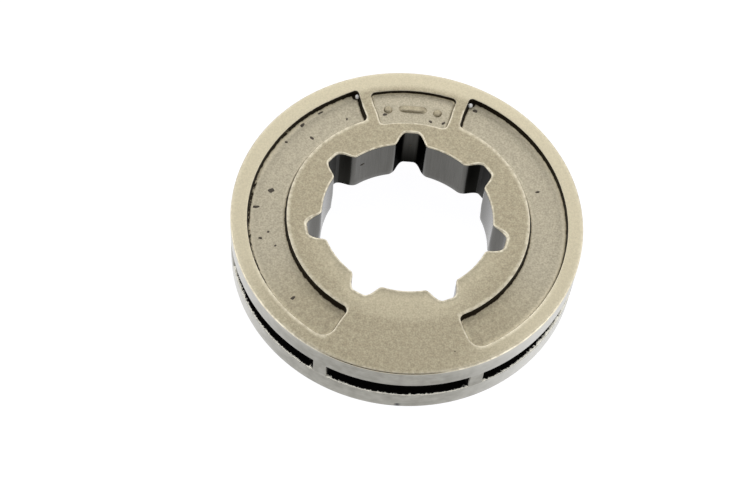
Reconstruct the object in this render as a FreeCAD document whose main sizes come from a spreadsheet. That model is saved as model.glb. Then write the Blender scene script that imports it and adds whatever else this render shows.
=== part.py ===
"""Chainsaw rim sprocket: a sintered steel ring that carries the saw chain on a splined clutch drum.

The ring stands on its lower face, with +Z along the bore axis and +Y towards the small pocket of
the upper face. Lengths are millimetres and angles are degrees.
"""
import FreeCAD, Part
import math
import os

import Sketcher

NODE = "rim_sprocket"
ORIGIN = FreeCAD.Vector(0, 0, 0)
UP = FreeCAD.Vector(0, 0, 1)
SAME = 1e-4

SIZES = {
    "outer_diameter": 35.0,
    "thickness": 7.0,
    "bore_diameter": 17.0,
    "spline_count": 7,
    "spline_depth": 1.5,
    "spline_crown_width": 1.8,
    "spline_flank_angle": 22.0,
    "spline_crown_radius": 0.5,
    "spline_lip_radius": 0.35,
    "tooth_count": 7,
    "drive_slot_width": 2.0,
    "drive_hub_wall": 2.6,
    "drive_corner_radius": 1.2,
    "tooth_tip_width": 1.45,
    "tooth_flank_angle": 11.0,
    "recess_rim_width": 1.55,
    "recess_hub_wall": 2.1,
    "recess_depth": 0.85,
    "recess_end_angle": 154.0,
    "recess_outer_corner": 1.3,
    "recess_inner_corner": 0.55,
    "pocket_rim_width": 2.35,
    "pocket_hub_wall": 1.2,
    "pocket_depth": 0.55,
    "pocket_half_angle": 17.15,
    "pocket_corner": 0.45,
    "rib_width": 1.2,
    "relief_hub_wall": 2.1,
    "relief_depth": 1.45,
    "rim_bevel": 0.25,
    "bore_bevel": 0.2,
    "recess_bevel": 0.15,
    "recess_floor_bevel": 0.2,
    "relief_bevel": 0.3,
    "slot_lip_bevel": 0.15,
}


def make_sheet(doc):
    """Write the driving dimensions into a spreadsheet, one named cell each."""
    sheet = doc.addObject("Spreadsheet::Sheet", "sizes")
    for row, (name, value) in enumerate(SIZES.items(), start=1):
        sheet.set(f"A{row}", name)
        sheet.set(f"B{row}", str(value))
        sheet.setAlias(f"B{row}", name)
    doc.recompute()
    return sheet


def origin_item(body, role):
    """The body's own origin plane or axis with this role."""
    return next(item for item in body.Origin.OriginFeatures if item.Role == role)


def new_sketch(body, name, lift=None):
    """A sketch on the lower face's plane, or lifted from it by a formula."""
    sketch = body.newObject("Sketcher::SketchObject", name)
    sketch.AttachmentSupport = (origin_item(body, "XY_Plane"), [""])
    sketch.MapMode = "FlatFace"
    if lift:
        sketch.setExpression("AttachmentOffset.Base.z", lift)
    return sketch


def dimension(sketch, name, formula, *constraint):
    """Add a driving constraint and bind it to a formula of the sheet's values."""
    index = sketch.addConstraint(Sketcher.Constraint(*constraint))
    sketch.renameConstraint(index, name)
    sketch.setExpression(f"Constraints.{name}", formula)


def join(sketch, *ends):
    """Make pairs of geometry ends coincide, each end a (geometry, point) pair."""
    for first, second in zip(ends[0::2], ends[1::2]):
        sketch.addConstraint(Sketcher.Constraint("Coincident", *first, *second))


def polar(radius, degrees):
    """A point of the sketch plane at this radius and angle from +X."""
    turn = math.radians(degrees)
    return FreeCAD.Vector(radius * math.cos(turn), radius * math.sin(turn), 0)


def add_line(sketch, start, end):
    """A straight edge between two points."""
    return sketch.addGeometry(Part.LineSegment(start, end), False)


def add_ring_arc(sketch, radius, start, end, name, formula):
    """An arc about the bore axis, with its radius bound to a formula."""
    circle = Part.Circle(ORIGIN, UP, radius)
    arc = sketch.addGeometry(Part.ArcOfCircle(circle, math.radians(start), math.radians(end)), False)
    sketch.addConstraint(Sketcher.Constraint("Coincident", arc, 3, -1, 1))
    dimension(sketch, name, formula, "Radius", arc, radius)
    return arc


def cut(body, sketch, name, depth, way):
    """Cut a sketch up, down or both ways by a depth formula, and make sure that it removed something."""
    before = body.Tip.Shape.Volume
    pocket = body.newObject("PartDesign::Pocket", name)
    pocket.Profile = sketch
    pocket.Type = "Length"
    pocket.SideType = "Symmetric" if way == "both" else "One side"
    pocket.setExpression("Length", depth)
    pocket.Reversed = way == "up"
    body.Document.recompute()
    if pocket.Shape.Volume > before - SAME:
        raise RuntimeError(f"{name} cuts nothing")
    return pocket


def repeat_round(body, feature, name, count):
    """Repeat a cut evenly about the bore axis."""
    pattern = body.newObject("PartDesign::PolarPattern", name)
    pattern.Originals = [feature]
    pattern.Axis = (origin_item(body, "Z_Axis"), [""])
    pattern.Angle = 360
    pattern.setExpression("Occurrences", count)
    body.Tip = pattern
    body.Document.recompute()


def dress_edges(body, kind, name, size, wanted):
    """Round or bevel, as kind says, every edge of the body that the wanted test picks."""
    base = body.Tip
    names = [f"Edge{number}" for number, edge in enumerate(base.Shape.Edges, start=1) if wanted(edge)]
    if not names:
        raise RuntimeError(f"{name} finds no edge")
    dressing = body.newObject(f"PartDesign::{kind}", name)
    dressing.Base = (base, names)
    dressing.setExpression("Radius" if kind == "Fillet" else "Size", size)
    body.Document.recompute()


def axis_distance(point):
    """Distance of a point from the bore axis."""
    return math.hypot(point.x, point.y)


def is_upright(edge):
    """Whether an edge is a straight line along the bore axis."""
    box = edge.BoundBox
    return box.ZLength > SAME and box.XLength < SAME and box.YLength < SAME


def is_level(edge, height):
    """Whether a whole edge lies at this height."""
    box = edge.BoundBox
    return abs(box.ZMin - height) < SAME and abs(box.ZMax - height) < SAME


def middle_distance(edge):
    """Distance of an edge's middle from the bore axis."""
    return axis_distance(edge.valueAt((edge.FirstParameter + edge.LastParameter) / 2))


def make_disc(body, sheet):
    """The plain ring, between the bore and the rim."""
    sketch = new_sketch(body, "disc_outline")
    for name in ("outer_diameter", "bore_diameter"):
        diameter = sheet.get(name)
        circle = sketch.addGeometry(Part.Circle(ORIGIN, UP, diameter / 2), False)
        sketch.addConstraint(Sketcher.Constraint("Coincident", circle, 3, -1, 1))
        dimension(sketch, name, f"sizes.{name}", "Diameter", circle, diameter)
    pad = body.newObject("PartDesign::Pad", "disc")
    pad.Profile = sketch
    pad.setExpression("Length", "sizes.thickness")
    body.Document.recompute()


def cut_splines(body, sheet):
    """Spline notches of the bore, which slide on the drum's splined hub."""
    bore = sheet.bore_diameter / 2
    crown = bore + sheet.spline_depth
    half_width = sheet.spline_crown_width / 2
    half_turn = math.degrees(math.asin(half_width / crown))
    foot_height = bore - sheet.spline_depth
    flare = math.tan(math.radians(sheet.spline_flank_angle))
    foot = half_width + (polar(crown, 90 - half_turn).y - foot_height) * flare

    sketch = new_sketch(body, "spline_outline")
    arc = add_ring_arc(sketch, crown, 90 - half_turn, 90 + half_turn,
                       "crown_radius", "sizes.bore_diameter / 2 + sizes.spline_depth")
    right_foot = FreeCAD.Vector(foot, foot_height, 0)
    left_foot = FreeCAD.Vector(-foot, foot_height, 0)
    right = add_line(sketch, right_foot, polar(crown, 90 - half_turn))
    left = add_line(sketch, polar(crown, 90 + half_turn), left_foot)
    base = add_line(sketch, left_foot, right_foot)
    join(sketch, (right, 2), (arc, 1), (arc, 2), (left, 1), (left, 2), (base, 1), (base, 2), (right, 1))
    sketch.addConstraint(Sketcher.Constraint("Symmetric", arc, 1, arc, 2, -2))
    sketch.addConstraint(Sketcher.Constraint("Symmetric", base, 1, base, 2, -2))
    dimension(sketch, "crown_width", "sizes.spline_crown_width",
              "DistanceX", arc, 2, arc, 1, 2 * half_width)
    dimension(sketch, "flank_angle", "90 + sizes.spline_flank_angle",
              "Angle", right, math.radians(90 + sheet.spline_flank_angle))
    dimension(sketch, "foot_height", "sizes.bore_diameter / 2 - sizes.spline_depth",
              "DistanceY", -1, 1, base, 2, foot_height)

    notch = cut(body, sketch, "spline_notch", "sizes.thickness", "up")
    repeat_round(body, notch, "spline_notches", "sizes.spline_count")
    middle = (bore + crown) / 2
    dress_edges(body, "Fillet", "spline_crowns",
                "min(sizes.spline_crown_radius; sizes.spline_crown_width / 3)",
                lambda edge: is_upright(edge) and middle < middle_distance(edge) < crown + SAME)
    dress_edges(body, "Fillet", "spline_lips", "min(sizes.spline_lip_radius; sizes.spline_depth / 3)",
                lambda edge: is_upright(edge) and bore - SAME < middle_distance(edge) < middle)


def cut_drive_pockets(body, sheet):
    """Pockets for the chain's drive links, with the tooth between two of them flush with the rim."""
    rim = sheet.outer_diameter / 2
    root = sheet.bore_diameter / 2 + sheet.spline_depth + sheet.drive_hub_wall
    half_pitch = 180 / sheet.tooth_count
    lean = half_pitch + sheet.tooth_flank_angle
    turn = math.radians(half_pitch)
    mouth = rim * math.sin(turn) - sheet.tooth_tip_width / 2 * math.cos(turn)
    mouth_drop = rim * math.cos(turn) + sheet.tooth_tip_width / 2 * math.sin(turn)
    outside = sheet.outer_diameter * 0.6
    # The flank meets the root circle where the triangle of axis, mouth corner and root closes.
    corner = math.hypot(mouth, mouth_drop)
    corner_turn = math.degrees(math.atan2(mouth, mouth_drop))
    offset = corner * math.sin(math.radians(lean - corner_turn))
    root_turn = lean - math.degrees(math.asin(offset / root))

    sketch = new_sketch(body, "drive_outline", "sizes.thickness / 2")
    arc = add_ring_arc(sketch, root, 270 - root_turn, 270 + root_turn, "root_radius",
                       "sizes.bore_diameter / 2 + sizes.spline_depth + sizes.drive_hub_wall")
    right_mouth = FreeCAD.Vector(mouth, -mouth_drop, 0)
    left_mouth = FreeCAD.Vector(-mouth, -mouth_drop, 0)
    right_end = FreeCAD.Vector(mouth, -outside, 0)
    left_end = FreeCAD.Vector(-mouth, -outside, 0)
    right_flank = add_line(sketch, polar(root, 270 + root_turn), right_mouth)
    right_side = add_line(sketch, right_mouth, right_end)
    outer = add_line(sketch, right_end, left_end)
    left_side = add_line(sketch, left_end, left_mouth)
    left_flank = add_line(sketch, left_mouth, polar(root, 270 - root_turn))
    join(sketch, (arc, 2), (right_flank, 1), (right_flank, 2), (right_side, 1),
         (right_side, 2), (outer, 1), (outer, 2), (left_side, 1),
         (left_side, 2), (left_flank, 1), (left_flank, 2), (arc, 1))
    sketch.addConstraint(Sketcher.Constraint("Symmetric", arc, 1, arc, 2, -2))
    sketch.addConstraint(Sketcher.Constraint("Symmetric", left_side, 2, right_side, 1, -2))
    sketch.addConstraint(Sketcher.Constraint("Vertical", right_side))
    sketch.addConstraint(Sketcher.Constraint("Vertical", left_side))
    sketch.addConstraint(Sketcher.Constraint("Horizontal", outer))
    pitch = "(180 / sizes.tooth_count)"
    dimension(sketch, "mouth_width",
              f"sizes.outer_diameter * sin({pitch}) - sizes.tooth_tip_width * cos({pitch})",
              "DistanceX", left_side, 2, right_side, 1, 2 * mouth)
    dimension(sketch, "mouth_drop",
              f"sizes.outer_diameter / 2 * cos({pitch}) + sizes.tooth_tip_width / 2 * sin({pitch})",
              "DistanceY", right_side, 1, -1, 1, mouth_drop)
    dimension(sketch, "flank_angle", f"{pitch} + sizes.tooth_flank_angle - 90",
              "Angle", right_flank, math.radians(lean - 90))
    dimension(sketch, "outside", "sizes.outer_diameter * 0.6",
              "DistanceY", outer, 1, -1, 1, outside)

    pocket = cut(body, sketch, "drive_pocket", "sizes.drive_slot_width", "both")
    repeat_round(body, pocket, "drive_pockets", "sizes.tooth_count")
    dress_edges(body, "Fillet", "drive_roots", "min(sizes.drive_corner_radius; sizes.drive_hub_wall)",
                lambda edge: is_upright(edge) and abs(middle_distance(edge) - root) < SAME)
    floor = (sheet.thickness - sheet.drive_slot_width) / 2
    roof = (sheet.thickness + sheet.drive_slot_width) / 2
    dress_edges(body, "Chamfer", "slot_lips", "min(sizes.slot_lip_bevel; sizes.drive_slot_width / 6)",
                lambda edge: (is_level(edge, floor) or is_level(edge, roof))
                and abs(middle_distance(edge) - rim) < SAME)


def cut_long_recesses(body, sheet):
    """The two long arc recesses of the upper face, mirror images of each other."""
    outer = sheet.outer_diameter / 2 - sheet.recess_rim_width
    inner = sheet.bore_diameter / 2 + sheet.spline_depth + sheet.recess_hub_wall
    low_end = 90 - sheet.recess_end_angle
    rib_side = 90 - sheet.pocket_half_angle
    outer_end = rib_side - math.degrees(math.asin(sheet.rib_width / outer))
    inner_end = rib_side - math.degrees(math.asin(sheet.rib_width / inner))

    sketch = new_sketch(body, "recess_outline", "sizes.thickness")
    outer_arc = add_ring_arc(sketch, outer, low_end, outer_end, "outer_radius",
                             "sizes.outer_diameter / 2 - sizes.recess_rim_width")
    inner_arc = add_ring_arc(sketch, inner, low_end, inner_end, "inner_radius",
                             "sizes.bore_diameter / 2 + sizes.spline_depth + sizes.recess_hub_wall")
    lower = add_line(sketch, polar(inner, low_end), polar(outer, low_end))
    upper = add_line(sketch, polar(inner, inner_end), polar(outer, outer_end))
    join(sketch, (lower, 1), (inner_arc, 1), (lower, 2), (outer_arc, 1),
         (upper, 1), (inner_arc, 2), (upper, 2), (outer_arc, 2))
    sketch.addConstraint(Sketcher.Constraint("PointOnObject", -1, 1, lower))
    dimension(sketch, "end_angle", "90 - sizes.recess_end_angle",
              "Angle", lower, math.radians(low_end))
    dimension(sketch, "rib_angle", "90 - sizes.pocket_half_angle",
              "Angle", upper, math.radians(rib_side))
    dimension(sketch, "rib_width", "sizes.rib_width", "Distance", -1, 1, upper, sheet.rib_width)

    recess = cut(body, sketch, "long_recess", "sizes.recess_depth", "down")
    mirror = body.newObject("PartDesign::Mirrored", "long_recesses")
    mirror.Originals = [recess]
    mirror.MirrorPlane = (origin_item(body, "YZ_Plane"), [""])
    body.Tip = mirror
    body.Document.recompute()

    third = ("(sizes.outer_diameter / 2 - sizes.recess_rim_width - sizes.bore_diameter / 2"
             " - sizes.spline_depth - sizes.recess_hub_wall) / 3")
    floor = sheet.thickness - sheet.recess_depth

    def is_corner(edge, radius, end):
        """Whether an edge is the recess corner at this radius and at this end's angle."""
        middle = edge.valueAt((edge.FirstParameter + edge.LastParameter) / 2)
        place = polar(radius, end)
        near = math.hypot(abs(middle.x) - place.x, middle.y - place.y) < SAME
        return near and is_upright(edge) and abs(edge.BoundBox.ZMin - floor) < SAME

    dress_edges(body, "Fillet", "recess_outer_corners", f"min(sizes.recess_outer_corner; {third})",
                lambda edge: is_corner(edge, outer, low_end))
    dress_edges(body, "Fillet", "recess_inner_corners", f"min(sizes.recess_inner_corner; {third})",
                lambda edge: is_corner(edge, inner, low_end))
    dress_edges(body, "Fillet", "recess_rib_corners", f"min(sizes.pocket_corner; {third})",
                lambda edge: is_corner(edge, outer, outer_end) or is_corner(edge, inner, inner_end))


def cut_small_pocket(body, sheet):
    """The shallow pocket between the two long recesses, where such a rim carries its size mark."""
    outer = sheet.outer_diameter / 2 - sheet.pocket_rim_width
    inner = sheet.bore_diameter / 2 + sheet.spline_depth + sheet.pocket_hub_wall
    half_turn = sheet.pocket_half_angle

    sketch = new_sketch(body, "pocket_outline", "sizes.thickness")
    outer_arc = add_ring_arc(sketch, outer, 90 - half_turn, 90 + half_turn, "outer_radius",
                             "sizes.outer_diameter / 2 - sizes.pocket_rim_width")
    inner_arc = add_ring_arc(sketch, inner, 90 - half_turn, 90 + half_turn, "inner_radius",
                             "sizes.bore_diameter / 2 + sizes.spline_depth + sizes.pocket_hub_wall")
    right = add_line(sketch, polar(inner, 90 - half_turn), polar(outer, 90 - half_turn))
    left = add_line(sketch, polar(inner, 90 + half_turn), polar(outer, 90 + half_turn))
    join(sketch, (right, 1), (inner_arc, 1), (right, 2), (outer_arc, 1),
         (left, 1), (inner_arc, 2), (left, 2), (outer_arc, 2))
    for side, name, formula, angle in (
            (right, "right_angle", "90 - sizes.pocket_half_angle", 90 - half_turn),
            (left, "left_angle", "90 + sizes.pocket_half_angle", 90 + half_turn)):
        sketch.addConstraint(Sketcher.Constraint("PointOnObject", -1, 1, side))
        dimension(sketch, name, formula, "Angle", side, math.radians(angle))

    cut(body, sketch, "small_pocket", "sizes.pocket_depth", "down")
    floor = sheet.thickness - sheet.pocket_depth
    third = ("(sizes.outer_diameter / 2 - sizes.pocket_rim_width - sizes.bore_diameter / 2"
             " - sizes.spline_depth - sizes.pocket_hub_wall) / 3")
    dress_edges(body, "Fillet", "pocket_corners", f"min(sizes.pocket_corner; {third})",
                lambda edge: is_upright(edge) and abs(edge.BoundBox.ZMin - floor) < SAME)


def cut_hub_relief(body, sheet):
    """The relief under the hub, which clears the drum and makes the hub thinner than the rim."""
    radius = sheet.bore_diameter / 2 + sheet.spline_depth + sheet.relief_hub_wall
    sketch = new_sketch(body, "relief_outline")
    circle = sketch.addGeometry(Part.Circle(ORIGIN, UP, radius), False)
    sketch.addConstraint(Sketcher.Constraint("Coincident", circle, 3, -1, 1))
    dimension(sketch, "relief_radius", "sizes.bore_diameter / 2 + sizes.spline_depth + sizes.relief_hub_wall",
              "Radius", circle, radius)
    cut(body, sketch, "hub_relief", "sizes.relief_depth", "up")


def bevel_edges(body, sheet):
    """The small bevels that pressing leaves along the floors and edges of the faces and the bore."""
    top = sheet.thickness
    recess_floors = (top - sheet.recess_depth, top - sheet.pocket_depth)
    hub_faces = (top, sheet.relief_depth)
    rim_faces = (top, 0)
    crown = sheet.bore_diameter / 2 + sheet.spline_depth
    rim = sheet.outer_diameter / 2
    shallow = "sizes.pocket_depth / 2.5"

    def lies_on(edge, heights):
        """Whether an edge lies in one of the level faces at these heights."""
        return any(is_level(edge, height) for height in heights)

    dress_edges(body, "Chamfer", "floor_bevels", f"min(sizes.recess_floor_bevel; {shallow})",
                lambda edge: lies_on(edge, recess_floors))
    dress_edges(body, "Chamfer", "recess_bevels", f"min(sizes.recess_bevel; {shallow})",
                lambda edge: is_level(edge, top) and crown + SAME < middle_distance(edge) < rim - SAME)
    dress_edges(body, "Chamfer", "relief_bevels", "min(sizes.relief_bevel; sizes.relief_depth / 2.5)",
                lambda edge: lies_on(edge, (0, sheet.relief_depth))
                and crown + SAME < middle_distance(edge) < rim - SAME)
    dress_edges(body, "Chamfer", "bore_bevels", "min(sizes.bore_bevel; sizes.spline_depth / 4)",
                lambda edge: lies_on(edge, hub_faces) and middle_distance(edge) < crown + SAME)
    dress_edges(body, "Chamfer", "rim_bevels", "min(sizes.rim_bevel; sizes.recess_rim_width / 3)",
                lambda edge: lies_on(edge, rim_faces) and middle_distance(edge) > rim - SAME)


def check_document(doc, body):
    """Stop if a feature failed or the finished solid isn't sound."""
    for item in doc.Objects:
        if "Invalid" in item.State or "Error" in item.State:
            raise RuntimeError(f"{item.Name} failed: {item.State}")
    shape = body.Shape
    if shape.isNull() or not shape.isValid() or len(shape.Solids) != 1:
        raise RuntimeError(f"{body.Label} is not one sound solid")


def main():
    """Build the rim sprocket and write its STEP file."""
    doc = FreeCAD.newDocument("rim_sprocket")
    sheet = make_sheet(doc)
    body = doc.addObject("PartDesign::Body", NODE)
    body.Label = NODE
    make_disc(body, sheet)
    cut_splines(body, sheet)
    cut_drive_pockets(body, sheet)
    cut_long_recesses(body, sheet)
    cut_small_pocket(body, sheet)
    cut_hub_relief(body, sheet)
    bevel_edges(body, sheet)
    check_document(doc, body)
    os.makedirs("parts", exist_ok=True)
    body.Shape.exportStep(f"parts/{body.Label}.step")
    box = body.Shape.optimalBoundingBox()
    print(f"{body.Label}: {body.Shape.Volume:.2f} mm3, "
          f"{box.XLength:.3f} x {box.YLength:.3f} x {box.ZLength:.3f} mm, from z {box.ZMin:.3f}")


main()
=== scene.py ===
"""Looks of a chainsaw rim sprocket: a sintered steel ring that lies on a white studio floor.

The ring's skin is one closed surface of two parameters: the turn about the bore axis, and the way round the ring's
section. Sizes are millimetres and degrees, as on a drawing, and meshes are metres. A turn is counted from +Y, where
the small pocket is, towards -X.
"""

import logging
import math
from dataclasses import dataclass, field, replace
from enum import Enum

import bmesh
import bpy
import numpy as np
from mathutils import Matrix, Vector


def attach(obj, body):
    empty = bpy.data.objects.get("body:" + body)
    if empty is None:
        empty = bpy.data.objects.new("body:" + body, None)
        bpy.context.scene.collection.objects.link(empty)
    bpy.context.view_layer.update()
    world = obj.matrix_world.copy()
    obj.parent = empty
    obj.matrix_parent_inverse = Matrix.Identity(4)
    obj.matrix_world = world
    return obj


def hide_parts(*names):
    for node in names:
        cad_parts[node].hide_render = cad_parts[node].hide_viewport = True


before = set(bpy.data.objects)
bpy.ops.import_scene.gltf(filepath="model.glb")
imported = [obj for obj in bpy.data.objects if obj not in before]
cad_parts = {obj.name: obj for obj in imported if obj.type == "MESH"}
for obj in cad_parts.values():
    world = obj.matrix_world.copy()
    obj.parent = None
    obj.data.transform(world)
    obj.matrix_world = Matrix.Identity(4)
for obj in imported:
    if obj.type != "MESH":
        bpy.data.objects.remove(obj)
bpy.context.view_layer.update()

LOG = logging.getLogger("rim_sprocket")
MM = 0.001
BODY = "root"
NODE = "rim_sprocket"
MARKS = ("burnish", "floor", "painted_lift", "wall", "pale", "flank", "lip", "nick")
UPRIGHT = np.eye(3)
# A range, a rise and a fall, or one value to each ring.
Numbers = tuple[float, ...]
# Angles at which a rounded edge is drawn.
BEND = np.radians([0, 30, 60, 90])
# Points of a mesh that are nearer than WELD are one, and edges that turn further than SHARP_TURN stay sharp.
WELD = 0.0002 * MM
SHARP_TURN = math.radians(50)
# Distances on the upper face that differ by less than this are the same, in millimetres.
TOUCH = 0.01
# Number of sine waves in a ragged line.
WAVES = 24
# Colour sockets of a Mix node: its first and second colour, and the result.
FIRST, SECOND, MIXED = 6, 7, 2


class Zone(Enum):
    """Finishes of the ring's skin, by the number of their material slot."""

    FACE = 0
    RIM = 1
    BORE = 2
    SLOT = 3
    NOTCH = 4


class Lie(Enum):
    """Surfaces that a speck sticks to."""

    FLOOR = "floor"
    BORE = "bore wall"


def linear(colour: str) -> tuple[float, float, float, float]:
    """Turn an sRGB hex colour to linear light.

    Args:
        colour: six hex digits after a hash sign.

    Returns:
        Linear red, green and blue, and an alpha of one.
    """
    parts = np.array([int(colour[start:start + 2], 16) for start in (1, 3, 5)]) / 255
    light = np.where(parts <= 0.04045, parts / 12.92, ((parts + 0.055) / 1.055) ** 2.4)
    return (*light.tolist(), 1.0)


def add_node(
    tree: bpy.types.NodeTree,
    kind: str,
    inputs: dict[str | int, object] | None = None,
    output: str | int = 0,
    **settings: object,
) -> bpy.types.NodeSocket:
    """Add a shader node with its settings and links.

    Args:
        tree: the material's node tree.
        kind: the node's type name, without the ShaderNode that all of them start with.
        inputs: for each input, by name or number, the socket that feeds it or its value.
        output: the output that is wanted, by name or number.
        **settings: properties of the node.

    Returns:
        The wanted output of the new node.
    """
    node = tree.nodes.new("ShaderNode" + kind)
    for name, value in settings.items():
        setattr(node, name, value)
    for key, value in (inputs or {}).items():
        if isinstance(value, bpy.types.NodeSocket):
            tree.links.new(value, node.inputs[key])
        else:
            node.inputs[key].default_value = value
    return node.outputs[output]


def start_steel(name: str) -> tuple[bpy.types.Material, bpy.types.NodeTree, bpy.types.NodeSocket]:
    """Start a material of bare metal.

    Args:
        name: name of the material.

    Returns:
        The material, its node tree and the piece's own coordinates.
    """
    material = bpy.data.materials.new(name)
    material.use_nodes = True
    tree = material.node_tree
    tree.nodes["Principled BSDF"].inputs["Metallic"].default_value = 1.0
    return material, tree, add_node(tree, "TexCoord", output="Object")


def end_steel(tree: bpy.types.NodeTree, strength: float, depth: float, **sockets: bpy.types.NodeSocket) -> None:
    """Feed a steel's shader.

    Args:
        tree: the material's node tree.
        strength: strength of the relief.
        depth: depth of the relief in millimetres.
        **sockets: what gives the colour, the roughness and the relief.
    """
    inputs = tree.nodes["Principled BSDF"].inputs
    bump = {"Height": sockets["relief"], "Strength": strength, "Distance": depth * MM}
    tree.links.new(sockets["colour"], inputs["Base Color"])
    tree.links.new(sockets["roughness"], inputs["Roughness"])
    tree.links.new(add_node(tree, "Bump", bump), inputs["Normal"])


def smooth_step(value: np.ndarray, low: float | np.ndarray, high: float | np.ndarray) -> np.ndarray:
    """Share from 0 at low to 1 at high, level at both ends: 3t^2 - 2t^3 of the clipped share t."""
    share = np.clip((value - low) / (high - low), 0, 1)
    return share * share * (3 - 2 * share)


def plateau(value: np.ndarray, foot: float, top: float, brow: float, end: float) -> np.ndarray:
    """Share that rises from foot to top and falls from brow to end: a smooth step times one less another."""
    return smooth_step(value, foot, top) * (1 - smooth_step(value, brow, end))


def soft_min(first: np.ndarray, second: np.ndarray, blend: float) -> np.ndarray:
    """Lesser of two heights, less h^2 b / 4: h falls from 1 at their crossing to 0 where they are b apart."""
    near = np.maximum(blend - np.abs(first - second), 0) / blend
    return np.minimum(first, second) - near * near * blend / 4


def ring_xy(radius: np.ndarray, turn: np.ndarray) -> tuple[np.ndarray, np.ndarray]:
    """Plan position of points at a radius and a turn in radians: x is -r sin(turn) and y is r cos(turn)."""
    return -radius * np.sin(turn), radius * np.cos(turn)


def ripple(turn: np.ndarray, lowest: int, highest: int, seed: int) -> np.ndarray:
    """Ragged line round the ring: a sum of sine waves of many whole numbers of periods, with seeded phases.

    Args:
        turn: turn in radians.
        lowest: least number of periods round the ring.
        highest: greatest number of periods.
        seed: seed of the phases.

    Returns:
        Height of the line, with a spread of about one.
    """
    chance = np.random.default_rng(seed)
    periods = chance.integers(lowest, highest, WAVES)
    phases = chance.uniform(0, 2 * np.pi, WAVES)
    return np.sin(np.multiply.outer(turn, periods) + phases).sum(-1) * math.sqrt(2 / WAVES)


def circle(count: int) -> tuple[np.ndarray, np.ndarray]:
    """Unit circle of so many points, as their turns in radians and the cosine and sine of each."""
    around = np.linspace(0, 2 * np.pi, count, endpoint=False)
    return around, np.stack([np.cos(around), np.sin(around)], axis=-1)


def spot(turn: float, radius: float, height: float) -> np.ndarray:
    """Point at a turn in degrees, a radius and a height."""
    return np.array([*ring_xy(np.array(radius), np.radians(turn)), height])


@dataclass
class Skin:
    """Grid of points that becomes a mesh."""

    points: np.ndarray  # array of lines by rings by three, in millimetres; the lines close round
    looped: bool = False  # whether the rings close round too
    # For each attribute of the mesh, its value at each point.
    marks: dict[str, np.ndarray] = field(default_factory=dict)
    zones: np.ndarray | None = None  # material slot of the quad after each point

    def quads(self) -> np.ndarray:
        """Quads between two neighbouring lines and two neighbouring rings.

        Returns:
            The corner numbers of the quads, four to a row.
        """
        lines, rings = self.points.shape[:2]
        line = np.arange(lines)[:, None] * rings
        ring = np.arange(rings if self.looped else rings - 1)[None, :]
        next_line, next_ring = np.roll(line, -1, 0), (ring + 1) % rings
        corners = (line + ring, line + next_ring, next_line + next_ring, next_line + ring)
        return np.stack(np.broadcast_arrays(*corners), axis=-1).reshape(-1, 4)


def make_mesh(name: str, skins: list[Skin]) -> bpy.types.Object:
    """Join skins into one smooth object at the origin, with seams and poles welded.

    Args:
        name: name of the object and its mesh.
        skins: the grids.

    Returns:
        The object, in the scene.
    """
    sizes = [skin.points.shape[0] * skin.points.shape[1] for skin in skins]
    starts = np.cumsum([0, *sizes[:-1]])
    places = np.concatenate([skin.points.reshape(-1, 3) for skin in skins]) * MM
    quads = np.concatenate([skin.quads() + start for skin, start in zip(skins, starts)])
    mesh = bpy.data.meshes.new(name)
    mesh.from_pydata(places.tolist(), [], quads.tolist())
    for mark in skins[0].marks:
        values = np.concatenate([skin.marks[mark].ravel() for skin in skins])
        mesh.attributes.new(mark, "FLOAT", "POINT").data.foreach_set("value", values)
    if skins[0].zones is not None:
        mesh.polygons.foreach_set("material_index", np.concatenate([skin.zones.ravel() for skin in skins]))
    shell = bmesh.new()
    shell.from_mesh(mesh)
    bmesh.ops.remove_doubles(shell, verts=shell.verts, dist=WELD)
    bmesh.ops.dissolve_degenerate(shell, edges=shell.edges, dist=WELD)
    shell.to_mesh(mesh)
    shell.free()
    mesh.shade_smooth()
    mesh.set_sharp_from_angle(angle=SHARP_TURN)
    piece = bpy.data.objects.new(name, mesh)
    bpy.context.scene.collection.objects.link(piece)
    return piece


def dress_piece(piece: bpy.types.Object, finishes: list[bpy.types.Material]) -> None:
    """Give a piece its finishes and let it ride on the ring's body.

    Args:
        piece: the object.
        finishes: its materials, in the order of their slots.
    """
    for finish in finishes:
        piece.data.materials.append(finish)
    even = piece.modifiers.new("even_shading", "WEIGHTED_NORMAL")
    even.keep_sharp = True
    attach(piece, BODY)
    triangles = sum(len(face.vertices) - 2 for face in piece.data.polygons)
    LOG.info("%s: %d triangles, %d finishes", piece.name, triangles, len(finishes))


def carry_round(
    outline: np.ndarray, profile: np.ndarray, centre: np.ndarray, axes: np.ndarray = UPRIGHT
) -> Skin:
    """Closed lump: a profile of (share, height) pairs from its top to its bottom, carried round an outline.

    The point at a share s of the outline point (a, b) and height h is the centre plus s a along the first axis, s b
    along the second and h along the third. The first and last shares are 0, so both ends close in a pole.

    Args:
        outline: points round the lump, seen from above, each an offset from the centre.
        profile: shares of the outline and heights above the centre.
        centre: the lump's place in millimetres.
        axes: the lump's three directions, one to a row.

    Returns:
        The lump's grid.
    """
    plan = outline[:, None, :] * profile[None, :, :1]
    height = np.broadcast_to(profile[None, :, 1:], (*plan.shape[:2], 1))
    return Skin(np.concatenate([plan, height], axis=-1) @ axes + centre)


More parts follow.
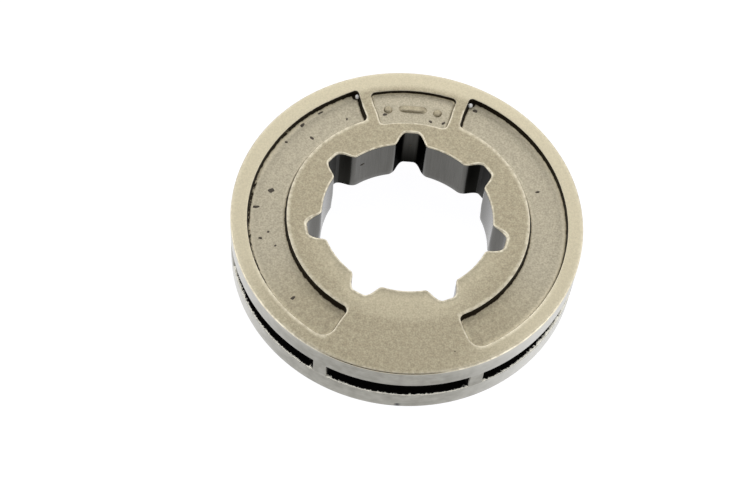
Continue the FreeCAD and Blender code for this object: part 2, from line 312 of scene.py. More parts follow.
@dataclass(frozen=True)
class NotchedOutline:
    """Outline that steps evenly between two circles along straight, leaning flanks."""

    low: float  # radius of the inner circle
    high: float  # radius of the outer circle, which the outline reaches at each middle
    count: int  # number of middles round the ring; the first is at turn 0
    half_width: float  # half of the width on the outer circle
    lean: float  # angle of a flank from the middle's own radius; the width grows towards the axis
    low_blend: float  # rounding where a flank meets the inner circle
    high_blend: float  # rounding where a flank meets the outer circle

    def radius(self, turn: np.ndarray) -> np.ndarray:
        """Radius of the outline at each turn.

        With a the turn from the nearest middle, t the tangent of the lean, w the half width and R its height on the
        outer circle, the flank is the straight line r(a) = (w + R t) / (sin a + t cos a). The outline is the flank,
        at least the inner circle and at most the outer one, with both meetings rounded.

        Args:
            turn: turn in radians.

        Returns:
            The radius at each turn.
        """
        pitch = 2 * np.pi / self.count
        away = np.abs((turn + pitch / 2) % pitch - pitch / 2)
        slope = math.tan(math.radians(self.lean))
        foot = self.half_width + math.sqrt(self.high ** 2 - self.half_width ** 2) * slope
        flank = foot / (np.sin(away) + slope * np.cos(away))
        raised = -soft_min(-flank, np.full_like(flank, -self.low), self.low_blend)
        return soft_min(raised, np.full_like(raised, self.high), self.high_blend)


@dataclass(frozen=True)
class PressedFace:
    """Upper face with two long arc recesses, the small pocket between them and the two ribs that part them.

    A recess is first a box of turns and radii, so that its walls run along the lines of the grid, and its corners
    are then rounded by drawing the squares about a corner's centre into circles. A corner is its radius and how far
    past the edge that drawing fades out.
    """

    gauge_radius: float = 14.0  # radius at which a line's distance from a rib is its turn times the radius
    recess_inner: float = 12.1  # inner radius of the long recesses
    recess_outer: float = 15.95  # their outer radius
    recess_depth: float = 0.85  # their depth
    recess_end: float = 154.0  # turn of their lower ends
    pocket_inner: float = 11.2  # inner radius of the small pocket
    pocket_outer: float = 15.15  # its outer radius
    pocket_depth: float = 0.55  # its depth
    pocket_half: float = 17.15  # turn from its middle to its side
    rib_width: float = 1.2  # width of the ribs, whose two sides are parallel
    outer_corner: Numbers = (1.3, 0.7)  # corner of a long recess at its lower end, at the rim
    inner_corner: Numbers = (0.55, 0.5)  # corner there at the hub
    rib_corner: Numbers = (0.45, 0.4)  # all corners along the ribs
    edge_round: float = 0.11  # rounding of the upper edges
    wall_run: float = 0.04  # how far a wall leans inwards over its height
    recess_foot: float = 0.36  # rounding between wall and floor in the long recesses
    pocket_foot: float = 0.24  # rounding between wall and floor in the pocket
    # Distances from the hub and the rim land of the first and last of the rings across a floor.
    floor_margins: Numbers = (1.0, 1.6)
    floor_rings: int = 4  # number of those rings
    land_rings: Numbers = (0.4, 0.75, 1.1)  # distances of the rings on the rim land from the recesses
    end_lines: Numbers = (0.45, 0.9)  # distances of the grid lines past a recess's lower end
    rib_fade: Numbers = (1.9, 4.0)  # range of distances from a rib over which lines stop being parallel to it
    end_fade: Numbers = (1.6, 4.0)  # the same from a lower end
    land_fade: Numbers = (0.3, 1.2)  # the same past the outer wall
    shade_fade: Numbers = (0.4, 0.95)  # range of distances from a shaded corner over which its painted shade ends

    def wall_lines(self, foot: float) -> np.ndarray:
        """Distances from a wall's top, positive inside, of the grid lines that draw its edge, slope and foot."""
        edge = self.edge_round * (np.sin(BEND) - 1)
        return np.concatenate([edge, self.wall_run + foot * (1 - np.cos(BEND))])

    def corner_lines(self, size: float) -> np.ndarray:
        """Distances from a wall of the grid lines that draw a corner of this size, more of them for a large one."""
        return size * np.array([0.6, 0.8, 1.0] if size > 0.5 else [0.75, 1.0])

    def pocket_lines(self) -> np.ndarray:
        """Distances from the pocket's walls of the grid lines that draw them and its corners."""
        return np.concatenate([self.wall_lines(self.pocket_foot), self.corner_lines(self.rib_corner[0])])

    def radius_lines(self) -> np.ndarray:
        """Rings along the walls, feet and corners of the recesses, with a few on the floor, the hub and the land.

        Returns:
            The radii, from the pocket's inner edge to the rim land.
        """
        wall, pocket = self.wall_lines(self.recess_foot), self.pocket_lines()
        inner = np.concatenate([wall, self.corner_lines(self.inner_corner[0])])
        outer = np.append(wall, self.rib_corner[0])
        first, last = self.recess_inner + self.floor_margins[0], self.recess_outer - self.floor_margins[1]
        return np.sort(np.concatenate([
            [self.pocket_inner - 2 * self.edge_round], self.pocket_inner + pocket, self.recess_inner + inner,
            np.linspace(first, last, self.floor_rings), self.pocket_outer - pocket, self.recess_outer - outer,
            self.recess_outer + np.array(self.land_rings)]))

    def turn_lines(self) -> np.ndarray:
        """Grid lines along the walls and corners on one side of the pocket's middle.

        Returns:
            The turns in radians.
        """
        wall = self.wall_lines(self.recess_foot)
        upper = np.append(wall, self.rib_corner[0])
        corners = [self.corner_lines(self.outer_corner[0]), self.inner_corner[:1]]
        lower = np.concatenate([wall, *corners, -np.array(self.end_lines)])
        half, end = math.radians(self.pocket_half), math.radians(self.recess_end)
        return np.concatenate([half - self.pocket_lines() / self.gauge_radius,
                               half + (self.rib_width + upper) / self.gauge_radius,
                               end - lower / self.gauge_radius])

    def walls(self, turn: np.ndarray) -> tuple[np.ndarray, np.ndarray]:
        """Distance of a grid line from the pocket's side, towards the rib, and from a recess's lower end, inwards."""
        away, half, end = np.abs(turn), math.radians(self.pocket_half), math.radians(self.recess_end)
        return self.gauge_radius * (away - half), self.gauge_radius * (end - away)

    def levels(self, turn: np.ndarray, radius: np.ndarray) -> tuple[np.ndarray, np.ndarray]:
        """How far a grid point is inside a long recess and inside the pocket, by the nearest of the four walls.

        Args:
            turn: turn of the grid line in radians.
            radius: radius of the ring.

        Returns:
            The distance inside the long recess and the distance inside the pocket, negative outside.
        """
        turn, radius = np.broadcast_arrays(turn, radius)
        side, end = self.walls(turn)
        around = [self.recess_outer - radius, radius - self.recess_inner]
        recess = np.minimum.reduce([side - self.rib_width, end, *around])
        pocket = np.minimum.reduce([-side, self.pocket_outer - radius, radius - self.pocket_inner])
        return recess, pocket

    def shaded_corner(self, turn: np.ndarray, radius: np.ndarray) -> np.ndarray:
        """How near a grid point is to a long recess's corner between its rib and outer wall, where shade is painted.

        Args:
            turn: turn of the grid line in radians.
            radius: radius of the ring.

        Returns:
            The share, from 0 away from the corner to 1 at it.
        """
        past_rib = self.walls(turn)[0] - self.rib_width
        away = np.hypot(np.maximum(past_rib, 0), np.maximum(self.recess_outer - radius, 0))
        return (1 - smooth_step(away, *self.shade_fade)) * (past_rib > 0)

    def sink(self, level: np.ndarray, depth: float, foot: float) -> np.ndarray:
        """Depth of the surface at a distance inside a recess.

        The section is a quarter circle over the edge, a straight lean to the foot, and a quarter circle to the floor.

        Args:
            level: distance inside the recess.
            depth: depth of its floor.
            foot: rounding between its wall and its floor.

        Returns:
            The depth below the upper face.
        """
        edge = self.edge_round
        over = np.clip(level + edge, 0, edge)
        top = edge - np.sqrt(edge ** 2 - over ** 2)
        slope = np.clip(level / self.wall_run, 0, 1) * (depth - edge - foot)
        left = np.clip(self.wall_run + foot - level, 0, foot)
        return top + slope + np.sqrt(foot ** 2 - left ** 2)

    def round_corner(
        self, across: np.ndarray, along: np.ndarray, size: float, reach: float
    ) -> tuple[np.ndarray, np.ndarray]:
        """Round a box corner by drawing the squares about the corner's centre into circles.

        With (a, b) the offsets from the centre, a point keeps its direction and its distance becomes the larger of
        a and b. Past the edge the move fades out.

        Args:
            across: distance from one wall, inwards.
            along: distance from the other wall.
            size: the corner's radius.
            reach: how far past the edge the move fades out.

        Returns:
            The two distances after the move.
        """
        first, second = size - across, size - along
        square = np.maximum(first, second)
        diagonal = np.maximum(np.hypot(first, second), 1e-9)
        within = (first > 0) & (second > 0)
        fade = 1 - smooth_step(square, size + self.edge_round, size + self.edge_round + reach)
        pull = np.where(within, fade * (1 - square / diagonal), 0)
        return across + first * pull, along + second * pull

    def round_end(
        self,
        wall: np.ndarray,
        radius: np.ndarray,
        span: Numbers,
        corners: tuple[Numbers, Numbers],
    ) -> tuple[np.ndarray, np.ndarray]:
        """Round both corners at one end of a recess, first the outer one.

        Args:
            wall: distance from the wall at that end, inwards.
            radius: radius of the points.
            span: inner and outer radius of the recess.
            corners: its outer and inner corner.

        Returns:
            The distance from the wall and the radius after the move.
        """
        inner, outer = span
        wall, below = self.round_corner(wall, outer - radius, *corners[0])
        wall, above = self.round_corner(wall, outer - below - inner, *corners[1])
        return wall, above + inner

    def place(self, turn: np.ndarray, radius: np.ndarray) -> tuple[np.ndarray, np.ndarray]:
        """Where a grid point goes: along lines parallel to the nearest rib or end, with the corners rounded.

        A line at a distance d from a wall that points at the axis has the turn of the wall plus arcsin(d / r), and
        further away it fades to the plain turn.

        Args:
            turn: turn of the grid line in radians.
            radius: radius of the ring.

        Returns:
            The turn and radius of the point.
        """
        turn, radius = np.broadcast_arrays(turn, radius)
        plain = np.abs(turn)
        side, end = self.walls(turn)
        near_side = 1 - smooth_step(np.abs(side), *self.rib_fade)
        near_end = 1 - smooth_step(np.abs(end), *self.end_fade)
        inward = 1 - smooth_step(radius, *(self.recess_outer + past for past in self.land_fade))

        recess, pocket = (self.recess_inner, self.recess_outer), (self.pocket_inner, self.pocket_outer)
        at_rib, at_end = (self.rib_corner, self.rib_corner), (self.outer_corner, self.inner_corner)
        past_rib, radius = self.round_end(side - self.rib_width, radius, recess, at_rib)
        end, radius = self.round_end(end, radius, recess, at_end)
        before_rib, radius = self.round_end(-past_rib - self.rib_width, radius, pocket, at_rib)

        side_turn = math.radians(self.pocket_half) + np.arcsin(np.clip(-before_rib / radius, -1, 1))
        end_turn = math.radians(self.recess_end) - np.arcsin(np.clip(end / radius, -1, 1))
        moved = plain + inward * (near_side * (side_turn - plain) + near_end * (end_turn - plain))
        return np.sign(turn) * moved, radius


@dataclass
class Strip:
    """Neighbouring rings of the skin; the band after a ring takes the finish of its strip."""

    x: np.ndarray  # plan position, an array of lines by rings
    y: np.ndarray  # plan position
    z: np.ndarray  # height
    zone: Zone  # finish of the bands
    marks: dict[str, np.ndarray] = field(default_factory=dict)  # attributes that aren't 0 on the strip


@dataclass(frozen=True)
class Wear:
    """Where the ring's skin is worn, and where paler light, highlights and shade are painted on it.

    A pair is a range over which a share rises from 0 to 1, and four numbers are a rise and a fall. Ranges are of
    "front", which is minus the cosine of the turn and so 1 opposite the pocket, of "back", its cosine, of turns in
    degrees, or of millimetres. A list of shines gives one to each ring of an edge.
    """

    side_notches: Numbers = (0.02, 0.15, 0.4, 0.7)  # front, at the two notches on the left and right
    middle_notch: Numbers = (0.7, 0.95)  # back, from the notches beside the middle one to that one
    shaded_back: Numbers = (-0.1, 0.45)  # back, over which the bore gets painted shade
    shade_start: Numbers = (0.04, 0.17)  # distances from the lands over which painted shade sets in on a notch's flank
    shade_delay: float = 0.28  # how much wider that range is beside the middle notch
    shade_crown: Numbers = (0.2, 0.02)  # distances from the crown over which the painted shade thins out in the middle notch
    # How much thinner it is there at the lower edge, and how much more so at the upper one.
    crown_thin: Numbers = (0.1, 0.5)
    aside_thin: Numbers = (0.2, 0.1)  # how much thinner it is beside the middle notch, and how much more so on the left
    deep_back: float = 0.8  # back, from which the painted shade is deep on the crown too
    deep_crown: float = 0.15  # distance from the crown that flanks end at
    bore_shine: Numbers = (0.3, 0.8, 1.0, 0.8)  # rub wear and painted highlight of the bore's upper edge, one to each ring
    bore_pale: float = 0.6  # painted light: how much paler the hub is along the bore in front
    bore_front: Numbers = (0.0, 0.7)  # front, over which that sets in
    hub_pale: float = 0.42  # painted light: how much paler the hub is at its outer edge in front
    hub_front: Numbers = (0.75, 0.97)  # front, over which that sets in
    hub_end: float = 0.3  # distance past the hub at which that ends
    land_start: float = 0.9  # distance before the rim land over which its painted paler light sets in
    floor_front: Numbers = (0.3, 0.8)  # front, over which the floors' own tone ends
    lift_worn: float = 2.0  # how much more painted light lifts a floor along a worn wall
    lift_pocket: Numbers = (13.4, 14.4)  # radii over which painted light lifts the pocket's floor
    lift_width: float = 0.2  # width of the border past a wall's foot that painted light lifts
    round_front: Numbers = (0.3, 0.6)  # front, over which the painted highlight on the recesses' outer edges is wider and stronger
    corner_shade: float = 1.6  # darkness of the painted shade in the corners by the ribs
    pore_soot: float = 1.3  # darkness of the pore
    worn_wall: Numbers = (24, 34, 62, 80)  # degrees, at which the outer wall of the left recess is worn, with thinner painted shade
    kept_wall: Numbers = (62, 80, 118, 140)  # degrees, at which its painted shade reaches over its foot
    kept_foot: Numbers = (0.2, 0.5)  # distances from the wall over which that painted shade ends
    kept_shade: float = 0.9  # how dark it is
    steep_shade: Numbers = (1.2, 1.6)  # painted shade on the steep walls of the pocket and of the recesses
    steep_loss: float = 0.5  # how much of it is lost where the wall is worn
    # Painted shade at the top of a wall's foot in the pocket, along the hub, along a rib and elsewhere.
    foot_shade: Numbers = (0.45, 1.8, 2.0, 1.0)
    foot_gain: float = 0.25  # how much more there is where the wall is worn
    inset_turns: Numbers = (15, 35, 50, 130)  # degrees, at which that wall stands in
    inset_radii: Numbers = (14.2, 15.4, 16.0, 17.0)  # radii at which it does
    hub_radii: Numbers = (10.9, 11.7, 12.6, 13.8)  # radii at which the hub's edge is off centre
    lightening_back: Numbers = (-0.95, -0.3)  # back, over which the painted paler light of the rim land sets in
    lightening_sides: Numbers = (0.19, 0.21)  # how much sooner it does on both sides, and how much later on the left
    rim_back: Numbers = (0.0, 0.5)  # back, over which the rim's painted paler light ends
    burr_sides: Numbers = (70, 92, 108, 135)  # degrees from its middle turn, at which the burr is heavy
    burr_tooth: Numbers = (0.9, 2.6)  # depths of the drive pocket over which the burr is heavy beside a tooth
    burr_start: Numbers = (0.25, 0.7)  # depths over which it sets in
    burr_ragged: Numbers = (0.55, 0.5, 1.4)  # mean, spread and greatest of its ragged height, as shares
    burr_beside: float = 0.45  # its weight beside a tooth
    bare_reach: Numbers = (0.24, 0.7)  # reach of the bare lip, and how much more where the burr is heavy
    line_turn: float = 5.0  # turn by which the dark line along the rim's edge, a painted shade, is off the front
    line_front: Numbers = (0.9, 0.975)  # front, over which that line sets in
    bright_front: Numbers = (0.45, 0.65)  # front, over which the rim's edge gets a painted highlight
    bright: Numbers = (0.85, 0.15)  # how much it does, and how much less so on the left


@dataclass
class RimSprocket:
    """The ring: splined bore, pressed upper face, slotted rim and relieved underside, as one closed skin."""

    thickness: float = 7.0  # height of the ring
    # Outline of the splined bore.
    bore: NotchedOutline = NotchedOutline(
        low=8.5, high=10.0, count=7, half_width=0.9, lean=22.0, low_blend=0.36, high_blend=0.8)
    worn_blend: float = 0.8  # rounding of the bore's land corners at the lower edge
    worn_share: float = 0.4  # share of the bore's height over which they are rounder
    wall_shares: Numbers = (0, 0.13, 0.27, 0.4, 0.7, 0.97)  # shares of the height at which the bore's rings lie
    # Outline of the drive pockets between the teeth.
    drive: NotchedOutline = NotchedOutline(
        low=12.6, high=17.5, count=7, half_width=0.725, lean=11.0, low_blend=1.2, high_blend=0.3)
    face: PressedFace = PressedFace()  # the upper face
    wear: Wear = Wear()  # where the skin is worn, rubbed and sooty
    slot_floor: float = 2.5  # height of the drive slot's lower side
    slot_roof: float = 4.5  # height of its upper side
    slot_depth: float = 9.0  # depth at which its rings end, past the deepest pocket
    roof_insets: Numbers = (0.5, 1.5)  # distances from the rim of the rings along its upper side
    floor_insets: Numbers = (2.4, 1.3, 0.8, 0.5, 0.3, 0.2)  # the same along its lower side
    upper_heights: Numbers = (5.9, 5.2)  # heights of the plain rings round the rim above it
    lower_heights: Numbers = (1.1, 0.75, 0.6)  # the same below it
    tooth_depth: float = 0.3  # depth of a pocket up to which its sides are part of the rim
    lip_round: float = 0.08  # rounding of the slot's lips
    burr_height: float = 0.05  # height of the ragged burr along the lower lip
    burr_growth: float = 0.25  # how much higher it is where it is heavy
    burr_middle: float = -8.0  # turn of the middle of the stretch where it is heavy
    burr_inset: float = 0.2  # distance of the burr's crest from the rim
    burr_width: float = 0.17  # half of the burr's width
    relief_radius: float = 12.1  # radius of the relief under the hub
    relief_depth: float = 1.45  # depth of the relief
    relief_bevel: float = 0.3  # bevel of its edge and foot
    lower_rings: Numbers = (15.5, 13.8)  # radii of the rings on the lower face
    bore_edge: float = 0.1  # rounding of the bore's edges
    notch_growth: float = 0.05  # how much larger it is at the notches of the upper face
    growth_span: Numbers = (0.1, 0.3)  # distances from a land and from a crown between which it grows
    side_growth: float = 0.1  # how much larger still at the two notches on the left and right
    ridge_width: float = 0.11  # width of the raised lip that broaching leaves round the bore
    hub_dip: float = 0.05  # how far the hub dips towards that lip
    hub_shares: Numbers = (0.3, 0.65)  # shares of the hub's width at which its rings lie
    off_centre: float = 0.1  # how far the pressed hub lies to the right of the turned rim's axis
    wall_shift: float = 0.27  # how far the outer wall of the left recess stands in where it is worn
    rim_edge: float = 0.13  # bevel of the rim's edges
    bevel_round: float = 0.02  # rounding at both ends of that bevel
    edge_border: float = 0.06  # width over which an edge's shine ends
    land_drop: float = 0.03  # how far the rim land falls towards the rim's edge
    nick_turn: float = -179.3  # turn of the dark nick in the rim's lower edge
    nick_width: float = 0.27  # half of the nick's width
    pore: Numbers = (-160.7, 15.6)  # turn and radius of the dark pore in the front of the upper face
    pore_width: float = 0.13  # half of its width
    widest_step: float = 0.6  # greatest turn between two grid lines
    line_gap: float = 0.12  # least turn between a wall's grid line and one along a notch or tooth
    # Turns from a middle of the grid lines along the notches and teeth.
    flank_lines: Numbers = (
        0, 1.2, 2.1, 2.25, 2.37, 2.5, 2.65, 2.9, 3.3, 3.7, 4.1, 4.5, 4.9, 5.3, 5.7, 6.1, 6.6, 7.2, 7.8, 8.4, 8.9, 9.3,
        9.7, 10.1, 10.5, 10.9, 11.4, 12.0)

    def turn_lines(self) -> np.ndarray:
        """Grid lines, dense along notches, teeth and recess walls.

        Wall lines are kept as they are, lines along notches and teeth give way to a wall line close by, and wide
        gaps are divided evenly.

        Returns:
            The turns in radians.
        """
        walls = self.face.turn_lines()
        walls = np.concatenate([walls, -walls])
        flank = np.radians(self.flank_lines)
        middles = np.arange(self.bore.count) * 2 * np.pi / self.bore.count
        notches = np.add.outer(middles, np.concatenate([flank, -flank[1:]])).ravel()
        notches = (notches + np.pi) % (2 * np.pi) - np.pi
        clear = np.abs(np.subtract.outer(notches, walls)).min(1) > math.radians(self.line_gap)
        lines = np.sort(np.concatenate([walls, notches[clear]]))
        gaps = np.diff(np.append(lines, lines[0] + 2 * np.pi))
        parts = np.maximum(np.ceil(gaps / math.radians(self.widest_step)), 1).astype(int)
        starts, steps = np.repeat(lines, parts), np.repeat(gaps / parts, parts)
        order = np.arange(parts.sum()) - np.repeat(np.cumsum(parts) - parts, parts)
        return (starts + order * steps + np.pi) % (2 * np.pi) - np.pi

    def bore_rings(
        self, outline: NotchedOutline, turn: np.ndarray, inset: np.ndarray
    ) -> tuple[np.ndarray, np.ndarray]:
        """Bore outline moved into the hub by each inset, along the outline's own normal.

        Args:
            outline: the outline.
            turn: turns of the grid lines.
            inset: how far each ring is moved, by rings or by lines and rings.

        Returns:
            The x and y of the rings, lines by rings.
        """
        x, y = (place[:, None] for place in ring_xy(outline.radius(turn), turn))
        run_x, run_y = (np.roll(place, -1, 0) - np.roll(place, 1, 0) for place in (x, y))
        length = np.hypot(run_x, run_y)
        return x + run_y / length * inset, y - run_x / length * inset

    def bore_rounding(self, turn: np.ndarray) -> np.ndarray:
        """Rounding of the bore's upper edge, which grows from the lands to the notches' crowns.

        Args:
            turn: turns of the grid lines.

        Returns:
            The rounding at each turn.
        """
        start, end = self.bore.low + self.growth_span[0], self.bore.high - self.growth_span[1]
        notch = smooth_step(self.bore.radius(turn), start, end)
        side = plateau(-np.cos(turn), *self.wear.side_notches)
        return self.bore_edge + (self.notch_growth + self.side_growth * side) * notch

    def worn_bore(self) -> NotchedOutline:
        """Outline of the bore at its lower edge, where the corners of the lands are rounder."""
        return replace(self.bore, low_blend=self.worn_blend)

    def bore_wall(self, turn: np.ndarray) -> list[Strip]:
        """Wall of the bore from its lower edge up, and the rounded edge at the upper face.

        Over the lower part of the height the outline passes from the worn one to the sharp one.

        Args:
            turn: turns of the grid lines.

        Returns:
            The wall and the edge.
        """
        share = np.array(self.wall_shares)
        rounding = self.bore_rounding(turn)[:, None]
        low, high = self.relief_depth + self.bore_edge, self.thickness - rounding
        x, y = self.bore_rings(self.bore, turn, 0 * share)
        worn_x, worn_y = self.bore_rings(self.worn_bore(), turn, 0 * share)
        worn = 1 - smooth_step(share, 0, self.worn_share)
        wall = Strip(x + (worn_x - x) * worn, y + (worn_y - y) * worn, low + (high - low) * share, Zone.BORE,
                     {"flank": self.flank_share(turn, share)})
        x, y = self.bore_rings(self.bore, turn, rounding * (1 - np.cos(BEND)))
        # Rub wear and a painted highlight along the bore's upper edge.
        shine = np.broadcast_to(self.wear.bore_shine, x.shape)
        edge = Strip(x, y, self.thickness - rounding * (1 - np.sin(BEND)), Zone.FACE, {"burnish": shine})
        return [wall, edge]

    def flank_share(self, turn: np.ndarray, share: np.ndarray) -> np.ndarray:
        """Painted shade on the bore: most in the three notches by the pocket, and less up the crown of the middle one.

        Args:
            turn: turns of the grid lines.
            share: heights of the rings, from 0 at the lower edge to 1 at the upper one.

        Returns:
            The painted shade at each line and ring.
        """
        wear, radius, low, high = self.wear, self.bore.radius(turn), self.bore.low, self.bore.high
        aside = 1 - smooth_step(np.cos(turn), *wear.middle_notch)
        start, full = (low + past for past in wear.shade_start)
        flank = smooth_step(radius, start, full + wear.shade_delay * aside)
        crown = smooth_step(radius, *(high - below for below in wear.shade_crown))
        thin = np.outer((1 - aside) * crown, wear.crown_thin[0] + wear.crown_thin[1] * smooth_step(share, 0, 0.9))
        thin += (aside * (wear.aside_thin[0] + wear.aside_thin[1] * np.sin(turn)))[:, None]
        return (flank * smooth_step(np.cos(turn), *wear.shaded_back))[:, None] * (1 - thin)

    def deep_shade(self, turn: np.ndarray) -> np.ndarray:
        """Whether a line's painted shade is deep: all over the middle notch and on the flanks of the two beside it."""
        deep = (self.bore.radius(turn) < self.bore.high - self.wear.deep_crown) | (np.cos(turn) > self.wear.deep_back)
        return (self.flank_share(turn, np.zeros(1))[:, 0] > 0.5) & deep

    def upper_face(self, turn: np.ndarray) -> list[Strip]:
        """Upper face from the bore's edge to the rim's edge, with its recesses.

        Args:
            turn: turns of the grid lines.

        Returns:
            The raised lip round the bore, the hub and the rest of the face.
        """
        face, wear, column = self.face, self.wear, turn[:, None]
        radius = face.radius_lines()[None, :]
        placed_turn, placed_radius = face.place(column, radius)
        x, y = ring_xy(placed_radius - self.wall_inset(column, radius), placed_turn)
        x = x + self.off_centre * plateau(radius, *wear.hub_radii)
        recess, pocket = face.levels(column, radius)
        start = face.recess_outer + face.edge_round
        fall = np.clip((radius - start) / (self.drive.high - self.rim_edge - start), 0, 1)
        z = (self.thickness - face.sink(recess, face.recess_depth, face.recess_foot)
             - face.sink(pocket, face.pocket_depth, face.pocket_foot) - self.land_drop * fall)
        pore_x, pore_y = ring_xy(self.pore[1], math.radians(self.pore[0]))
        pore = wear.pore_soot * np.exp(-(np.hypot(x - pore_x, y - pore_y) / self.pore_width) ** 2)
        rest = Strip(x, y, z, Zone.FACE, self.face_marks(column, radius, pore))

        # Painted light: the hub is paler along the bore in front.
        by_bore = wear.bore_pale * smooth_step(-np.cos(column), *wear.bore_front)
        foot_x, foot_y = self.bore_rings(self.bore, turn, self.bore_rounding(turn)[:, None] + self.ridge_width)
        dip = np.full(foot_x.shape, self.thickness - self.hub_dip)
        share = np.array(self.hub_shares)
        hub_x, hub_y = foot_x + (x[:, :1] - foot_x) * share, foot_y + (y[:, :1] - foot_y) * share
        height = np.broadcast_to(self.thickness - self.hub_dip * (1 - share), hub_x.shape)
        pale = by_bore + (self.front_pale(column) - by_bore) * share
        return [Strip(foot_x, foot_y, dip, Zone.FACE, {"pale": by_bore}),
                Strip(hub_x, hub_y, height, Zone.FACE, {"pale": pale}), rest]

    def front_pale(self, turn: np.ndarray) -> np.ndarray:
        """How much paler the outer part of the hub is at each turn, which is in front only."""
        # Painted light: the front of the hub is paler.
        return self.wear.hub_pale * smooth_step(-np.cos(turn), *self.wear.hub_front)

    def face_marks(self, turn: np.ndarray, radius: np.ndarray, pore: np.ndarray) -> dict[str, np.ndarray]:
        """Marks of the upper face.

        Painted shade, drawn as a dark skin, covers the steep walls and the corners by the ribs and fades down their
        feet, and the dark pore shares its mark. Painted light lifts the floors along their borders, and paler light is
        painted on the rim land and the front of the hub. The upper edges of the walls get rub wear and a painted
        highlight, which is wider in front.

        Args:
            turn: turns of the grid lines, as a column.
            radius: radii of the rings.
            pore: how dark the pore is at each grid point.

        Returns:
            The marks by name.
        """
        face, wear, front, edge = self.face, self.wear, -np.cos(turn), self.face.edge_round
        recess, pocket = face.levels(turn, radius)
        level = np.maximum(recess, pocket)
        foot = face.wall_run + np.where(recess > pocket, face.recess_foot, face.pocket_foot)
        climb = 1 - np.arccos(np.clip((foot - level) / (foot - face.wall_run), 0, 1)) * 2 / np.pi
        steep, cover, rest, worn = self.shade_cover(turn, radius, level)
        # Painted shade, drawn as a dark skin, on the steep walls and down their feet.
        skin = np.where(level < face.wall_run + TOUCH, steep, np.maximum(climb * cover, rest))
        wall = smooth_step(level, -edge / 2, 0) * skin
        # Painted shade in the corners of the long recesses by the ribs.
        painted_shade = wear.corner_shade * face.shaded_corner(turn, radius) * (recess > 0)
        # Painted light lifts the floors along their borders, and the pocket's floor towards its outer side.
        border = np.where(pocket > 0, smooth_step(radius, *wear.lift_pocket),
                          1 - smooth_step(level, foot, foot + wear.lift_width))
        # Painted highlight over the rub wear on the upper edges, wider and stronger in front.
        front_highlight = smooth_step(front, *wear.round_front)
        hub_shine = smooth_step(level, -edge * 1.6, -edge * 0.6)
        land_shine = (0.5 + 0.5 * front_highlight) * smooth_step(level, -edge * (1.1 + 0.5 * front_highlight), -edge * 0.5)
        shine = np.where(radius < face.gauge_radius, hub_shine, land_shine)
        # Painted paler light on the rim land and on the front of the hub.
        start = face.recess_outer + edge
        land_pale = smooth_step(radius, start - wear.land_start, start) * self.lightening(turn)
        hub_pale = 1 - smooth_step(radius, face.pocket_inner, face.recess_inner + wear.hub_end)
        return {
            "floor": smooth_step(level, face.wall_run, foot) * (1 - smooth_step(front, *wear.floor_front)),
            "painted_lift": (1 + wear.lift_worn * worn) * smooth_step(level, foot / 4, foot * 0.7) * border,
            "wall": np.maximum.reduce([wall, pore, painted_shade]),
            "burnish": shine * (1 - smooth_step(level, -edge / 8, 0)),
            "pale": np.maximum(land_pale, self.front_pale(turn) * hub_pale),
        }

    def shade_cover(self, turn: np.ndarray, radius: np.ndarray, level: np.ndarray) -> tuple[np.ndarray, ...]:
        """How much painted shade, drawn as a dark skin, lies on the recess walls and how far it reaches down their
        feet.

        It reaches furthest along the hub and the ribs. On the left it is thinner beside the rib, where the wall is
        worn, and past that it reaches over the foot of the outer wall.

        Args:
            turn: turns of the grid lines, as a column.
            radius: radii of the rings.
            level: distance inside the nearest wall.

        Returns:
            The painted shade on the steep wall, at the top of its foot and on the rest of the foot, and where the wall
            is worn.
        """
        face, wear, angle = self.face, self.wear, np.degrees(turn)
        side = face.walls(turn)[0]
        by_outer = face.recess_outer - radius < level + TOUCH
        by_hub = radius - face.recess_inner < level + TOUCH
        by_rib = (side - face.rib_width < level + TOUCH) & (level > 0)
        worn = plateau(angle, *wear.worn_wall) * by_outer
        kept = plateau(angle, *wear.kept_wall) * by_outer
        steep = np.where(side < 0, wear.steep_shade[0], wear.steep_shade[1] - wear.steep_loss * worn)
        *near, plain = wear.foot_shade
        cover = np.select([side < 0, by_hub, by_rib], near, plain + wear.foot_gain * worn)
        return steep, cover, wear.kept_shade * kept * (1 - smooth_step(level, *wear.kept_foot)), worn

    def wall_inset(self, turn: np.ndarray, radius: np.ndarray) -> np.ndarray:
        """How far the outer wall of the left recess stands in at each grid point, fading out on both sides of it."""
        along = plateau(np.degrees(turn), *self.wear.inset_turns)
        return self.wall_shift * along * plateau(radius, *self.wear.inset_radii)

    def lightening(self, turn: np.ndarray) -> np.ndarray:
        """How much of the paler tone shows at each turn: none opposite the pocket, most on the right."""
        # Painted light: the rim land is paler towards the back and the sides.
        side, (both, left) = np.sin(turn), self.wear.lightening_sides
        return smooth_step(np.cos(turn) + both * np.abs(side) - left * side, *self.wear.lightening_back)

    def rim_pale(self, turn: np.ndarray) -> np.ndarray:
        """Paler tone of the turned rim at each turn, as a column: as on the land, but it ends towards the back."""
        # Painted paler light on the turned rim's left and right.
        return (self.lightening(turn) * (1 - smooth_step(np.cos(turn), *self.wear.rim_back)))[:, None]

    def pocket_depth(self, turn: np.ndarray) -> np.ndarray:
        """Depth of the drive pocket at each turn, which is 0 on a tooth."""
        return self.drive.high - self.drive.radius(turn)

    def burr(self, turn: np.ndarray) -> tuple[np.ndarray, np.ndarray]:
        """How ragged and how heavy the burr on the slot's lower lip is.

        It is heavy on the left and right of the ring and less so beside each tooth, and there is none on a tooth.

        Args:
            turn: turns of the grid lines.

        Returns:
            The burr's height as a share, and its weight from 0 to 1, as columns.
        """
        wear, depth = self.wear, self.pocket_depth(turn)
        beside = 1 - smooth_step(depth, *wear.burr_tooth)
        sides = plateau(np.abs(np.degrees(turn) - self.burr_middle), *wear.burr_sides)
        mean, spread, most = wear.burr_ragged
        uneven = np.clip(mean + spread * ripple(turn, lowest=60, highest=330, seed=5), 0, most)
        ragged = uneven * smooth_step(depth, *wear.burr_start)
        return ragged[:, None], np.maximum(wear.burr_beside * beside, sides)[:, None]

